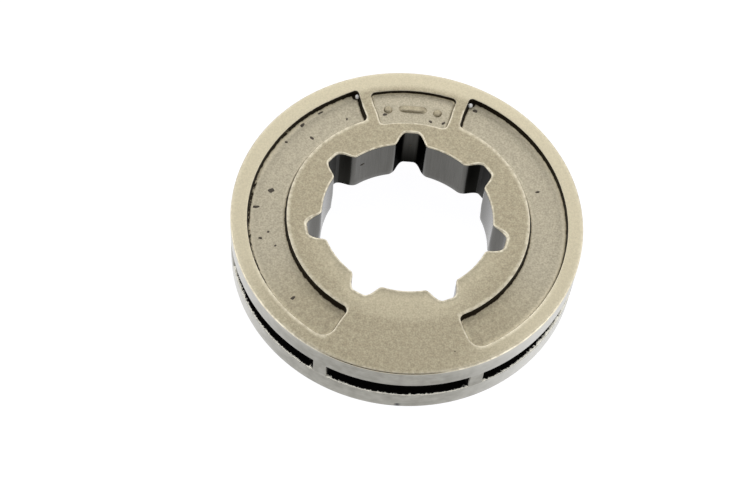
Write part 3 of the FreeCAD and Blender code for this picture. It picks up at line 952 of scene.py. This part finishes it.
    def rim_rings(
        self, turn: np.ndarray, inset: np.ndarray, height: np.ndarray, zone: Zone, **marks: np.ndarray
    ) -> Strip:
        """Rings at insets from the rim and at heights, spread over the grid lines.

        Between the lips a ring lies at its inset, or at the pocket's own depth where that is less, so the slot's
        rings draw together on a tooth, whose face is then part of the rim.

        Args:
            turn: turns of the grid lines.
            inset: inset of each ring.
            height: height of each ring, by rings or by lines and rings.
            zone: finish of the bands.
            **marks: marks that aren't 0 on the rings.

        Returns:
            The strip of these rings.
        """
        inset, height = np.broadcast_arrays(inset + 0 * turn[:, None], height)
        in_slot = (height > self.slot_floor - 2 * self.lip_round) & (height < self.slot_roof + 2 * self.lip_round)
        inset = np.where(in_slot, np.minimum(inset, self.pocket_depth(turn)[:, None]), inset)
        x, y = ring_xy(self.drive.high - inset, turn[:, None])
        return Strip(x, y, height, zone, {name: np.broadcast_to(value, x.shape) for name, value in marks.items()})

    def upper_rim(self, turn: np.ndarray) -> list[Strip]:
        """Rim from its upper edge to the slot's upper lip.

        In front painted shade draws a dark line along the edge, and on both sides the edge gets a painted highlight.

        Args:
            turn: turns of the grid lines.

        Returns:
            The upper bevel, the rim below it and the lip.
        """
        wear, edge, border, turned, lip = self.wear, self.rim_edge, self.edge_border, self.bevel_round, self.lip_round
        brow = self.thickness - self.land_drop
        # Painted shade: a dark line along the rim's edge in front. On both sides of it the edge gets a painted
        # highlight.
        line = smooth_step(-np.cos(turn + math.radians(wear.line_turn)), *wear.line_front)[:, None]
        shine = smooth_step(-np.cos(turn), *wear.bright_front) * (wear.bright[0] - wear.bright[1] * np.sin(turn))
        bright = shine[:, None] * (1 - line)
        bevel = self.rim_rings(
            turn,
            np.array([edge + border, edge + turned, edge - turned / 2, edge / 2]),
            brow - np.array([0, 0, turned / 2, edge / 2]),
            Zone.FACE,
            pale=self.lightening(turn)[:, None],
            burnish=np.array([0.25, 0.35, 0.5, 0.5]) + bright * np.array([0, 0.2, 0.5, 0.5]),
            wall=line * np.array([0, 0, 0, 1.3]))
        below = brow - edge
        upper = self.rim_rings(
            turn,
            np.array([turned / 2, 0, 0, 0, 0]),
            np.array([below + turned / 2, below - turned, below - border, *self.upper_heights]),
            Zone.RIM,
            pale=self.rim_pale(turn),
            burnish=np.array([0.5, 0.3, 0, 0, 0]) + bright * np.array([0.5, 0.6, 0.3, 0, 0]))
        bend = BEND[:-1]
        height = self.slot_roof + lip - lip * np.sin(bend)
        rounded = self.rim_rings(turn, lip * (1 - np.cos(bend)), height, Zone.RIM, pale=self.rim_pale(turn))
        return [bevel, upper, rounded]

    def drive_slot(self, turn: np.ndarray) -> list[Strip]:
        """Drive slot from its roof to its lower lip, with the burr: a bell-shaped ridge along the lip.

        Args:
            turn: turns of the grid lines.

        Returns:
            The roof, the floor and the lower lip.
        """
        lip, deep, bend = self.lip_round, self.slot_depth, BEND[1:-1]
        ragged, heavy = self.burr(turn)
        inset = np.array([lip, *self.roof_insets, deep])
        roof = self.rim_rings(turn, inset, np.full(len(inset), self.slot_roof), Zone.SLOT)
        inset = np.array([deep, *self.floor_insets, lip])
        crest = np.exp(-((inset - self.burr_inset) / self.burr_width) ** 2)
        ridge = (self.burr_height + self.burr_growth * heavy) * ragged * crest
        bare = np.exp(-inset / (self.wear.bare_reach[0] + self.wear.bare_reach[1] * heavy))
        floor = self.rim_rings(turn, inset, self.slot_floor + ridge, Zone.SLOT, lip=bare)
        height = self.slot_floor - lip * (1 - np.cos(bend))
        edge = self.rim_rings(turn, lip * (1 - np.sin(bend)), height, Zone.SLOT, lip=np.ones(len(bend)))
        return [roof, floor, edge]

    def lower_rim(self, turn: np.ndarray) -> list[Strip]:
        """Rim from below the slot to its rounded lower edge, with the nick.

        Args:
            turn: turns of the grid lines.

        Returns:
            The rim and its edge.
        """
        edge, foot = self.rim_edge, self.slot_floor - self.lip_round
        away = (turn - math.radians(self.nick_turn)) * self.drive.high / self.nick_width
        nick = np.exp(-(away ** 2))[:, None]
        height = np.array([foot, foot - self.edge_border, *self.lower_heights])
        lower = self.rim_rings(turn, np.zeros(5), height, Zone.RIM, burnish=np.array([0.5, 0, 0, 0, 0]),
                               pale=self.rim_pale(turn), nick=nick * np.array([0, 0, 0, 0, 1]))
        bottom = self.rim_rings(turn, edge * (1 - np.cos(BEND)), edge * (1 - np.sin(BEND)), Zone.RIM,
                                burnish=np.array([0, 0.8, 0.8, 0.2]), pale=self.rim_pale(turn), nick=nick)
        return [lower, bottom]

    def underside(self, turn: np.ndarray) -> list[Strip]:
        """Lower face from the rim inwards, the relief under the hub, and the bore's lower edge.

        Args:
            turn: turns of the grid lines.

        Returns:
            The lower face with the relief's wall, the middle of the hub and the bore's edge.
        """
        bevel, radius, deep, bend = self.relief_bevel, self.relief_radius, self.relief_depth, BEND[:0:-1]
        around = np.array([*self.lower_rings, radius + bevel, radius, radius, radius - bevel])
        height = np.array([0, 0, 0, bevel, deep - bevel, deep])
        x, y = ring_xy(around[None, :], turn[:, None])
        lower = Strip(x, y, np.broadcast_to(height, x.shape), Zone.FACE)
        edge_x, edge_y = self.bore_rings(self.worn_bore(), turn, self.bore_edge * (1 - np.cos(bend)))
        middle = Strip((x[:, -1:] + edge_x[:, :1]) / 2, (y[:, -1:] + edge_y[:, :1]) / 2,
                       np.full((len(turn), 1), deep), Zone.FACE)
        rise = np.broadcast_to(deep + self.bore_edge * (1 - np.sin(bend)), edge_x.shape)
        # Painted shade on the bore's lower edge in the notches.
        painted_shade = self.flank_share(turn, np.zeros(len(bend)))
        return [lower, middle, Strip(edge_x, edge_y, rise, Zone.BORE, {"flank": painted_shade})]

    def skin(self) -> Skin:
        """The whole closed skin, strip after strip round the section.

        Returns:
            The skin, with its marks and zones.
        """
        turn = self.turn_lines()
        parts = (self.bore_wall, self.upper_face, self.upper_rim, self.drive_slot, self.lower_rim, self.underside)
        strips = [strip for part in parts for strip in part(turn)]
        points = np.concatenate([np.stack([strip.x, strip.y, strip.z], axis=-1) for strip in strips], axis=1)
        marks = {mark: np.concatenate([strip.marks.get(mark, np.zeros(strip.x.shape)) for strip in strips], axis=1)
                 for mark in MARKS}
        zones = np.concatenate([np.full(strip.x.shape, strip.zone.value) for strip in strips], axis=1)
        depth = self.pocket_depth(turn)
        tooth = np.maximum(depth, np.roll(depth, -1)) < self.tooth_depth
        zones = np.where(tooth[:, None] & (zones == Zone.SLOT.value), Zone.RIM.value, zones)
        # Lines with deep painted shade take the notch finish.
        shaded = self.deep_shade(turn) & self.deep_shade(np.roll(turn, -1))
        zones = np.where(shaded[:, None] & (zones == Zone.BORE.value), Zone.NOTCH.value, zones)
        return Skin(points, True, marks, zones)

    def build(self, finishes: list[bpy.types.Material]) -> bpy.types.Object:
        """Make the ring, which takes the place of the frame's node, and hide that node.

        Args:
            finishes: materials in the order of Zone.

        Returns:
            The ring.
        """
        piece = make_mesh("steel_ring", [self.skin()])
        dress_piece(piece, finishes)
        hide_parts(NODE)
        return piece


@dataclass
class PocketMark:
    """Plain raised mark on the small pocket's floor: a rounded bar between two dots."""

    radius: float = 13.2  # distance of the mark from the bore axis
    floor: float = 6.45  # height of the pocket's floor
    height: float = 0.22  # height of the mark above the floor
    bar_length: float = 2.9  # length of the bar
    bar_width: float = 0.8  # width of the bar
    dot_width: float = 0.9  # width of a dot
    dot_offset: float = 2.55  # distance of a dot from the middle

    def build(self, finish: bpy.types.Material) -> bpy.types.Object:
        """Make the mark, each part a low rounded profile carried round a bar's or a dot's outline.

        The bar's outline is a circle whose halves are moved apart by a steep hyperbolic tangent of its cosine.

        Args:
            finish: its material.

        Returns:
            The mark.
        """
        around, unit = circle(40)
        dot = unit / 2 * self.dot_width
        straight = (self.bar_length - self.bar_width) / 2
        bar = unit / 2 * self.bar_width + np.stack([straight * np.tanh(6 * np.cos(around)), 0 * around], axis=-1)
        rounded = [[0, 1], [0.55, 1], [0.72, 0.93], [0.84, 0.7], [0.92, 0.35], [1, 0], [1, -0.3], [0, -0.3]]
        profile = np.array(rounded) * np.array([1, self.height])
        skins = []
        for outline, x in ((bar, 0.0), (dot, self.dot_offset), (dot, -self.dot_offset)):
            centre = np.array([x, math.sqrt(self.radius ** 2 - x ** 2), self.floor])
            skins.append(carry_round(outline, profile, centre))
        piece = make_mesh("pocket_mark", skins)
        dress_piece(piece, [finish])
        return piece


@dataclass(frozen=True)
class Crumb:
    """One speck of residue: its turn, radius and height, its length, width and direction, and what it sticks to."""

    turn: float
    radius: float
    height: float
    length: float
    width: float
    direction: float = 0.0
    lie: Lie = Lie.FLOOR

    def axes(self) -> np.ndarray:
        """Directions of its length, width and thickness before it is turned in its own plane.

        Returns:
            The three directions, one to a row.
        """
        if self.lie is Lie.FLOOR:
            return UPRIGHT
        outward = spot(self.turn, 1.0, 0.0)
        return np.stack([np.cross(outward, UPRIGHT[2]), UPRIGHT[2], -outward])


@dataclass
class Residue:
    """Dark specks of furnace residue on the ring, and the two blasting beads caught in recess corners."""

    recess: float = 6.15  # height of the long recesses' floor
    pocket: float = 6.45  # height of the small pocket's floor
    thickness: float = 0.06  # height of a speck
    bead_width: float = 0.5  # width of a bead
    bead_turns: Numbers = (22.0, -22.5)  # turns of the two beads
    bead_radius: float = 15.45  # distance of the beads from the bore axis

    def crumbs(self) -> list[Crumb]:
        """The specks, given one by one.

        Returns:
            The specks.
        """
        floor, pocket = self.recess, self.pocket
        return [
            Crumb(80.5, 13.9, floor, 0.62, 0.52, 30), Crumb(89, 15.05, floor, 0.7, 0.3, 10),
            Crumb(103, 14.7, floor, 0.38, 0.28), Crumb(100.5, 13.85, floor, 0.28, 0.24),
            Crumb(107.5, 13.4, floor, 0.26, 0.18, 50), Crumb(132.5, 14.4, floor, 0.52, 0.3, 40),
            Crumb(48.5, 13.5, floor, 0.5, 0.28, 140), Crumb(57, 15.1, floor, 0.32, 0.26),
            Crumb(47, 15.33, floor, 0.6, 0.42, 60), Crumb(38, 15.4, floor, 0.8, 0.26, 35),
            Crumb(30, 13.4, floor, 0.3, 0.2, 80), Crumb(-71, 13.75, floor, 0.46, 0.24, 20),
            Crumb(-25, 15.25, floor, 0.5, 0.4, 160), Crumb(13, 12.65, pocket, 0.46, 0.3, 20),
            Crumb(-9, 12.0, pocket, 0.4, 0.28, 150), Crumb(-15.2, 12.2, pocket, 0.46, 0.26, 40),
            Crumb(34.3, 8.5, 4.9, 0.55, 0.16, 8, Lie.BORE), Crumb(0, 10.0, 4.6, 0.3, 0.2, 0, Lie.BORE),
        ]

    def lump(self, crumb: Crumb, number: int) -> Skin:
        """Grid of one speck: a low dome carried round an uneven oval, with seeded waves on its edge.

        Args:
            crumb: the speck.
            number: its number, which seeds its edge.

        Returns:
            The grid.
        """
        around, unit = circle(20)
        uneven = 0.5 * (1 + 0.07 * ripple(around, lowest=2, highest=6, seed=number))
        oval = unit * np.array([crumb.length, crumb.width]) * uneven[:, None]
        lean = math.radians(crumb.direction)
        turned = oval @ np.array([[math.cos(lean), math.sin(lean)], [-math.sin(lean), math.cos(lean)]])
        dome = np.array([[0, 1], [0.45, 0.9], [0.8, 0.55], [1, 0.1], [1, -0.6], [0, -0.6]])
        centre = spot(crumb.turn, crumb.radius, crumb.height)
        return carry_round(turned, dome * np.array([1, self.thickness]), centre, crumb.axes())

    def build(self, dark: bpy.types.Material, bright: bpy.types.Material) -> list[bpy.types.Object]:
        """Make the specks and the beads.

        Args:
            dark: finish of the specks.
            bright: finish of the beads.

        Returns:
            The specks and the beads.
        """
        lumps = [self.lump(crumb, number) for number, crumb in enumerate(self.crumbs())]
        half = self.bead_width / 2
        polar = np.linspace(0, np.pi, 11)
        ball = np.stack([np.sin(polar), np.cos(polar) * half], axis=-1)
        centres = [spot(turn, self.bead_radius, self.recess + half) for turn in self.bead_turns]
        balls = [carry_round(circle(20)[1] * half, ball, centre) for centre in centres]
        pieces = [make_mesh("residue_specks", lumps), make_mesh("blasting_beads", balls)]
        for piece, finish in zip(pieces, (dark, bright)):
            dress_piece(piece, [finish])
        return pieces


@dataclass(frozen=True)
class BlastedSteel:
    """Sintered steel, shot blasted: a dull khaki grey with a fine even grain and slight blotches.

    Blasting reaches the faces and floors. The steep recess walls and the corners by the ribs get painted shade, a dark
    skin tone with a ragged border, the edges get rub wear and a painted highlight, and painted light lifts the floors'
    borders and pales the lands.
    """

    light: str = "#AFA68E"  # lighter tone of the face
    dark: str = "#A59B84"  # darker tone of the face
    pale_tone: str = "#C8BFA6"  # painted light: tone where the face is paler, on the rim land above all
    floor_tone: str = "#B2AA96"  # tone of the recess floors
    painted_lift: float = 0.12  # painted light: how much paler a floor is along its border
    shade_and_pore_tone: str = "#29231B"  # tone of the painted shade on walls, corners and the rim's front edge, and of the dark pore
    edge_tone: str = "#E6DEC8"  # tone of an edge with rub wear and a painted highlight
    grain: float = 0.16  # width of a blasting dimple, drawn a little coarse so that it shows
    blotch: float = 0.5  # width of a blotch
    depth: float = 0.03  # depth of the dimples
    relief: float = 0.35  # strength of their relief
    roughness: float = 0.52  # roughness of the blasted face
    edge_roughness: float = 0.38  # roughness of an edge with rub wear

    def make(self) -> bpy.types.Material:
        """Build the material's nodes.

        Returns:
            The material.
        """
        material, tree, place = start_steel("sintered_steel_shot_blasted")
        mark = {name: add_node(tree, "Attribute", output="Fac", attribute_name=name)
                for name in ("pale", "floor", "painted_lift", "burnish", "wall")}
        grain, blotch = (add_node(tree, "TexNoise", {"Vector": place, "Scale": 1 / (width * MM), "Detail": detail})
                         for width, detail in ((self.grain, 2.0), (self.blotch, 3.0)))
        spread = add_node(tree, "MapRange", {"Value": blotch, "From Min": 0.35, "From Max": 0.65})
        colour = linear(self.dark)
        # Painted paler light over the face's own tones, then the floors' own tone.
        for share, tone in ((spread, self.light), (mark["pale"], self.pale_tone), (mark["floor"], self.floor_tone)):
            colour = add_node(tree, "Mix", {0: share, FIRST: colour, SECOND: linear(tone)}, MIXED, data_type="RGBA")

        # The grain shades these tones, less so where they are painted paler, and painted light lifts the floors'
        # borders.
        speckle = add_node(tree, "MapRange", {
            "Value": grain, "From Min": 0.3, "From Max": 0.7, "To Min": 0.8, "To Max": 1.17})
        smoothed = add_node(tree, "Math", {0: mark["pale"], 1: 0.6}, operation="MULTIPLY")
        evened = add_node(tree, "Mix", {0: smoothed, 2: speckle, 3: 1.0})
        lift = add_node(tree, "Math", {0: mark["painted_lift"], 1: self.painted_lift, 2: 1.0}, operation="MULTIPLY_ADD")
        tint = add_node(tree, "Math", {0: evened, 1: lift}, operation="MULTIPLY")
        colour = add_node(tree, "Mix", {0: 1.0, FIRST: colour, SECOND: tint}, MIXED,
                          data_type="RGBA", blend_type="MULTIPLY")

        # Over them lie rub wear and a painted highlight on the edges, uneven by the blotches, and the painted shade
        # with the dark pore, which ends in ragged spots.
        uneven = add_node(tree, "MapRange", {
            "Value": blotch, "From Min": 0.38, "From Max": 0.58, "To Min": 0.4, "To Max": 1.0})
        lightening = add_node(tree, "Math", {0: mark["burnish"], 1: uneven}, operation="MULTIPLY")
        spots = add_node(tree, "Math", {0: blotch, 1: 2.2, 2: grain}, operation="MULTIPLY_ADD")
        ragged = add_node(tree, "Math", {0: mark["wall"], 1: 2.0, 2: spots}, operation="MULTIPLY_ADD")
        shade_fringe = add_node(tree, "MapRange", {"Value": ragged, "From Min": 2.4, "From Max": 3.0, "To Max": 0.3})
        solid = add_node(tree, "MapRange", {"Value": ragged, "From Min": 3.0, "From Max": 3.45})
        skin = add_node(tree, "Math", {0: shade_fringe, 1: solid}, operation="MAXIMUM")
        for share, tone in ((lightening, self.edge_tone), (skin, self.shade_and_pore_tone)):
            colour = add_node(tree, "Mix", {0: share, FIRST: colour, SECOND: linear(tone)}, MIXED, data_type="RGBA")
        dull = add_node(tree, "MapRange", {"Value": lightening, "To Min": self.roughness, "To Max": self.edge_roughness})
        relief = add_node(tree, "Math", {0: blotch, 1: 0.6, 2: grain}, operation="MULTIPLY_ADD")
        end_steel(tree, self.relief, self.depth, colour=colour, roughness=dull, relief=relief)
        return material


@dataclass(frozen=True)
class TurnedSteel:
    """Sintered steel, turned on the rim: a plain light grey with faint lines round it, duller than polished steel."""

    light: str = "#A6A49B"  # lighter tone
    dark: str = "#96948B"  # darker tone
    pale_tone: str = "#D6D5CF"  # painted light: tone where the rim is paler, on the left and right
    edge_tone: str = "#D8D5CA"  # tone of an edge with rub wear and a painted highlight
    nick_tone: str = "#17161C"  # tone of the nick
    line: float = 0.12  # spacing of the turning lines, drawn coarser than the real feed so that they show
    squeeze: float = 0.06  # scale of the lines' pattern along them, as a share of that across them
    blotch: float = 0.9  # width of a blotch
    depth: float = 0.02  # depth of the lines
    relief: float = 0.2  # strength of their relief
    shade_height: float = 4.5  # height from which painted shade makes the rim a little darker than at the floor
    roughness: float = 0.42  # roughness of the rim

    def make(self) -> bpy.types.Material:
        """Build the material's nodes.

        Returns:
            The material.
        """
        material, tree, place = start_steel("sintered_steel_turned")
        mark = {name: add_node(tree, "Attribute", output="Fac", attribute_name=name)
                for name in ("pale", "burnish", "nick")}
        along = add_node(tree, "Mapping", {"Vector": place, "Scale": (self.squeeze, self.squeeze, 1.0)})
        lines = add_node(tree, "TexNoise", {"Vector": along, "Scale": 1 / (self.line * MM), "Detail": 2.0})
        blotch = add_node(tree, "TexNoise", {"Vector": place, "Scale": 1 / (self.blotch * MM), "Detail": 4.0})
        mixed = add_node(tree, "Math", {0: lines, 1: 0.5, 2: blotch}, operation="MULTIPLY_ADD")
        spread = add_node(tree, "MapRange", {"Value": mixed, "From Min": 0.55, "From Max": 0.95})
        # Painted shade: the rim darkens a little from the floor up to the shade height.
        height = add_node(tree, "SeparateXYZ", {0: place}, "Z")
        height_shade = add_node(tree, "MapRange", {
            "Value": height, "From Max": self.shade_height * MM, "To Min": 0.98, "To Max": 0.92})
        colour = linear(self.dark)
        # Painted paler light on the rim's left and right.
        for share, tone in ((spread, self.light), (mark["pale"], self.pale_tone)):
            colour = add_node(tree, "Mix", {0: share, FIRST: colour, SECOND: linear(tone)}, MIXED, data_type="RGBA")
        colour = add_node(tree, "Mix", {0: 1.0, FIRST: colour, SECOND: height_shade}, MIXED,
                          data_type="RGBA", blend_type="MULTIPLY")
        # Rub wear with a painted highlight on the edges, and the dark nick.
        for share, tone in ((mark["burnish"], self.edge_tone), (mark["nick"], self.nick_tone)):
            colour = add_node(tree, "Mix", {0: share, FIRST: colour, SECOND: linear(tone)}, MIXED, data_type="RGBA")
        dull = add_node(tree, "MapRange", {
            "Value": mixed, "From Min": 0.5, "From Max": 1.0,
            "To Min": self.roughness + 0.08, "To Max": self.roughness - 0.05})
        end_steel(tree, self.relief, self.depth, colour=colour, roughness=dull, relief=mixed)
        return material


@dataclass(frozen=True)
class OxideSteel:
    """Steel with the dark skin of steam treatment: nearly black, with streaks along the bore from broaching.

    On the drive slot the skin ends at the lip in bright flecks of burr. In the slot the dark is partly painted shade,
    and on the notch flanks it is painted shade.
    """

    name: str  # name of the material
    light: str  # lighter tone of the skin
    dark: str  # darker tone
    flank_tone: str = "#0C0C0B"  # tone of the painted shade on the flanks of the notches
    burr_tone: str = "#F2F0E8"  # tone of the burr at a lip
    streak: float = 0.14  # spacing of the streaks
    stretch: float = 24.0  # how many times longer than wide a streak is
    fleck: float = 0.26  # width of a fleck of burr
    depth: float = 0.02  # depth of the streaks
    relief: float = 0.15  # strength of their relief
    roughness: float = 0.22  # roughness of the skin
    shade_roughness: float = 0.35  # how much rougher it is under the painted shade
    burr_roughness: float = 0.9  # roughness of the burr
    glance: str = "#FFFFFF"  # tint of reflections at a flat angle, dimmed in the notches with their painted shade

    def make(self) -> bpy.types.Material:
        """Build the material's nodes.

        Returns:
            The material.
        """
        material, tree, place = start_steel(self.name)
        tree.nodes["Principled BSDF"].inputs["Specular Tint"].default_value = linear(self.glance)
        flank, lip = (add_node(tree, "Attribute", output="Fac", attribute_name=name) for name in ("flank", "lip"))
        along = add_node(tree, "Mapping", {"Vector": place, "Scale": (1.0, 1.0, 1 / self.stretch)})
        streaks = add_node(tree, "TexNoise", {"Vector": along, "Scale": 1 / (self.streak * MM), "Detail": 3.0})
        flecks = add_node(tree, "TexNoise", {"Vector": place, "Scale": 1 / (self.fleck * MM), "Detail": 2.0})
        spread = add_node(tree, "MapRange", {"Value": streaks, "From Min": 0.3, "From Max": 0.7})
        ragged = add_node(tree, "Math", {0: flecks, 1: 1.2, 2: lip}, operation="MULTIPLY_ADD")
        burr = add_node(tree, "MapRange", {"Value": ragged, "From Min": 1.2, "From Max": 1.32})
        colour = linear(self.dark)
        # The flank mark lays painted shade on the notches.
        for share, tone in ((spread, self.light), (flank, self.flank_tone), (burr, self.burr_tone)):
            colour = add_node(tree, "Mix", {0: share, FIRST: colour, SECOND: linear(tone)}, MIXED, data_type="RGBA")
        dull = add_node(tree, "MapRange", {"Value": burr, "To Min": self.roughness, "To Max": self.burr_roughness})
        shaded = add_node(tree, "Math", {0: flank, 1: self.shade_roughness, 2: dull}, operation="MULTIPLY_ADD")
        end_steel(tree, self.relief, self.depth, colour=colour, roughness=shaded, relief=streaks)
        return material


@dataclass(frozen=True)
class PlainFinish:
    """Plain finish of one colour, without grain.

    It is scale of oxide, dull and brown black, or the glass of a bead, white and smooth.
    """

    name: str  # name of the material
    tone: str  # its colour
    roughness: float  # its roughness

    def make(self) -> bpy.types.Material:
        """Build the material.

        Returns:
            The material.
        """
        material = bpy.data.materials.new(self.name)
        material.use_nodes = True
        inputs = material.node_tree.nodes["Principled BSDF"].inputs
        inputs["Base Color"].default_value = linear(self.tone)
        inputs["Roughness"].default_value = self.roughness
        return material


@dataclass(frozen=True)
class SoftLamp:
    """Softbox that points at the ring."""

    name: str  # name of the lamp
    place: tuple[float, float, float]  # its middle in millimetres
    size: Numbers  # width and height in millimetres
    level: float  # brightness of its face, where 1 is paper white

    def make(self) -> None:
        """Add the lamp: its power is the level times pi times its area, which is what a dull glowing sheet gives."""
        width, height = self.size[0] * MM, self.size[1] * MM
        lamp = bpy.data.lights.new(self.name, "AREA")
        lamp.shape = "RECTANGLE"
        lamp.size, lamp.size_y = width, height
        lamp.energy = self.level * math.pi * width * height
        item = bpy.data.objects.new(self.name, lamp)
        item.location = Vector(self.place) * MM
        item.rotation_euler = (-item.location).to_track_quat("-Z", "Y").to_euler()
        item.visible_camera = False
        bpy.context.scene.collection.objects.link(item)


@dataclass
class Studio:
    """White dish for a floor, soft lamps, dim surroundings and the camera."""

    azimuth: float = -2.4  # camera's angle round the ring from -Y
    elevation: float = 59.395  # its angle above the floor
    roll: float = 6.326  # its turn about its own line of sight
    distance: float = 184.233  # its distance from the ring
    shift_right: float = 2.839  # how far right of the picture's middle the ring's middle lies
    shift_up: float = -0.155  # how far above it
    focal: float = 86.44  # focal length for a sensor 36 mm wide
    flat_radius: float = 700.0  # radius of the dish's flat part
    wall_radius: float = 300.0  # radius of the curve from the floor to the wall
    wall_height: float = 420.0  # height of the dish
    glow: str = "#F9F9FB"  # the floor's own white, a little blue, which is what a shadow on it shows
    shadow_share: float = 0.16  # share of plain lit paper that is added to it, which makes the ring's shadow
    paper_tone: str = "#F2F0EA"  # tone of the paper that lights the ring from below
    surroundings: str = "#606266"  # tone of the dim surroundings
    drop: float = 0.01  # how far the floor lies below the ring, so that the two don't share a plane
    # The softboxes.
    lamps: tuple[SoftLamp, ...] = (
        SoftLamp("back_softbox", (10, 120, 110), (280, 150), 1.3),
        SoftLamp("left_softbox", (-167, -12, 75), (220, 120), 1.4),
        SoftLamp("right_softbox", (162, -35, 75), (280, 120), 1.25),
        SoftLamp("top_softbox", (0, 30, 230), (180, 160), 1.0),
        SoftLamp("front_softbox", (0, -190, 120), (240, 120), 0.7),
    )

    def place_camera(self) -> None:
        """Put the camera at the photograph's view.

        The direction back to the camera is b = (sin a cos e, -cos a cos e, sin e). Level right and the up that goes
        with it are turned by the roll, and the camera is moved sideways so that the ring is off the middle.
        """
        turn, lift, roll = (math.radians(angle) for angle in (self.azimuth, self.elevation, self.roll))
        back = Vector((math.sin(turn) * math.cos(lift), -math.cos(turn) * math.cos(lift), math.sin(lift)))
        level = Vector((math.cos(turn), math.sin(turn), 0))
        upright = back.cross(level)
        right = math.cos(roll) * level + math.sin(roll) * upright
        up = math.cos(roll) * upright - math.sin(roll) * level
        camera = bpy.data.cameras.new("photo_camera")
        camera.sensor_width, camera.sensor_fit, camera.lens = 36.0, "HORIZONTAL", self.focal
        camera.clip_start, camera.clip_end = 0.001, 10.0
        item = bpy.data.objects.new("photo_camera", camera)
        item.matrix_world = Matrix((right, up, back)).transposed().to_4x4()
        item.location = (self.distance * back - self.shift_right * right - self.shift_up * up) * MM
        bpy.context.scene.collection.objects.link(item)
        bpy.context.scene.camera = item

    def lay_floor(self) -> bpy.types.Object:
        """Lay the dish: a flat disc whose edge curves up, a profile carried once round the axis.

        Returns:
            The floor.
        """
        bend = np.radians(np.linspace(0, 90, 12))
        flat = np.array([0, 30, 120, 350])
        curve = self.flat_radius + self.wall_radius * np.sin(bend)
        radius = np.concatenate([flat, curve, [self.flat_radius + self.wall_radius]])
        height = np.concatenate([0 * flat, self.wall_radius * (1 - np.cos(bend)), [self.wall_height]]) - self.drop
        x, y = ring_xy(radius[None, :], circle(96)[0][:, None])
        floor = make_mesh("studio_floor", [Skin(np.stack([x, y, np.broadcast_to(height, x.shape)], axis=-1))])
        floor.data.materials.append(self.paper())
        return floor

    def paper(self) -> bpy.types.Material:
        """White paper that the camera and mirrors see glowing at paper white, with the ring's shadow on it.

        Returns:
            The material.
        """
        material = bpy.data.materials.new("white_backdrop_paper")
        material.use_nodes = True
        tree = material.node_tree
        tree.nodes.remove(tree.nodes["Principled BSDF"])
        dull = add_node(tree, "BsdfDiffuse", {"Color": linear(self.paper_tone)})
        faint = add_node(tree, "BsdfDiffuse", {"Color": (*[self.shadow_share] * 3, 1.0)})
        glow = add_node(tree, "Emission", {"Color": linear(self.glow), "Strength": 1.0})
        seen = add_node(tree, "AddShader", {0: glow, 1: faint})
        path = add_node(tree, "LightPath").node.outputs
        straight = add_node(tree, "Math", {0: path["Is Camera Ray"], 1: path["Is Glossy Ray"]}, operation="MAXIMUM")
        shown = add_node(tree, "Math", {0: straight, 1: path["Is Transmission Ray"]}, operation="MAXIMUM")
        either = add_node(tree, "MixShader", {0: shown, 1: dull, 2: seen})
        tree.links.new(either, tree.nodes["Material Output"].inputs["Surface"])
        return material

    def light(self) -> None:
        """Set the lamps and the dim grey surroundings."""
        world = bpy.data.worlds.new("dim_studio")
        world.use_nodes = True
        glow = world.node_tree.nodes["Background"]
        glow.inputs["Color"].default_value = linear(self.surroundings)
        glow.inputs["Strength"].default_value = 1.0
        bpy.context.scene.world = world
        for lamp in self.lamps:
            lamp.make()

    def build(self) -> None:
        """Set the whole studio."""
        bpy.context.scene.view_settings.view_transform = "Standard"
        self.place_camera()
        self.lay_floor()
        self.light()
        LOG.info("studio: %d lamps", len(self.lamps))


def main() -> None:
    """Build and dress the ring, and set the studio."""
    logging.basicConfig(level=logging.INFO, format="%(message)s")
    blasted = BlastedSteel().make()
    bore = OxideSteel("broached_steel_steam_oxide", "#605F5B", "#565551")
    # Finish of the deep notches, which carries painted shade.
    painted_shade = replace(bore, name="broached_steel_painted_shade", glance="#A0A0A0")
    # The drive slot's dark is oxide and partly painted shade.
    slot = OxideSteel("sintered_steel_oxide_and_shade", "#2A2826", "#171615", roughness=0.6)
    RimSprocket().build([blasted, *(finish.make() for finish in (TurnedSteel(), bore, slot, painted_shade))])
    PocketMark().build(blasted)
    scale = PlainFinish("oxide_scale", "#554D43", 0.85).make()
    Residue().build(scale, PlainFinish("glass_bead", "#F8F7F3", 0.2).make())
    Studio().build()


if __name__ == "__main__":
    main()
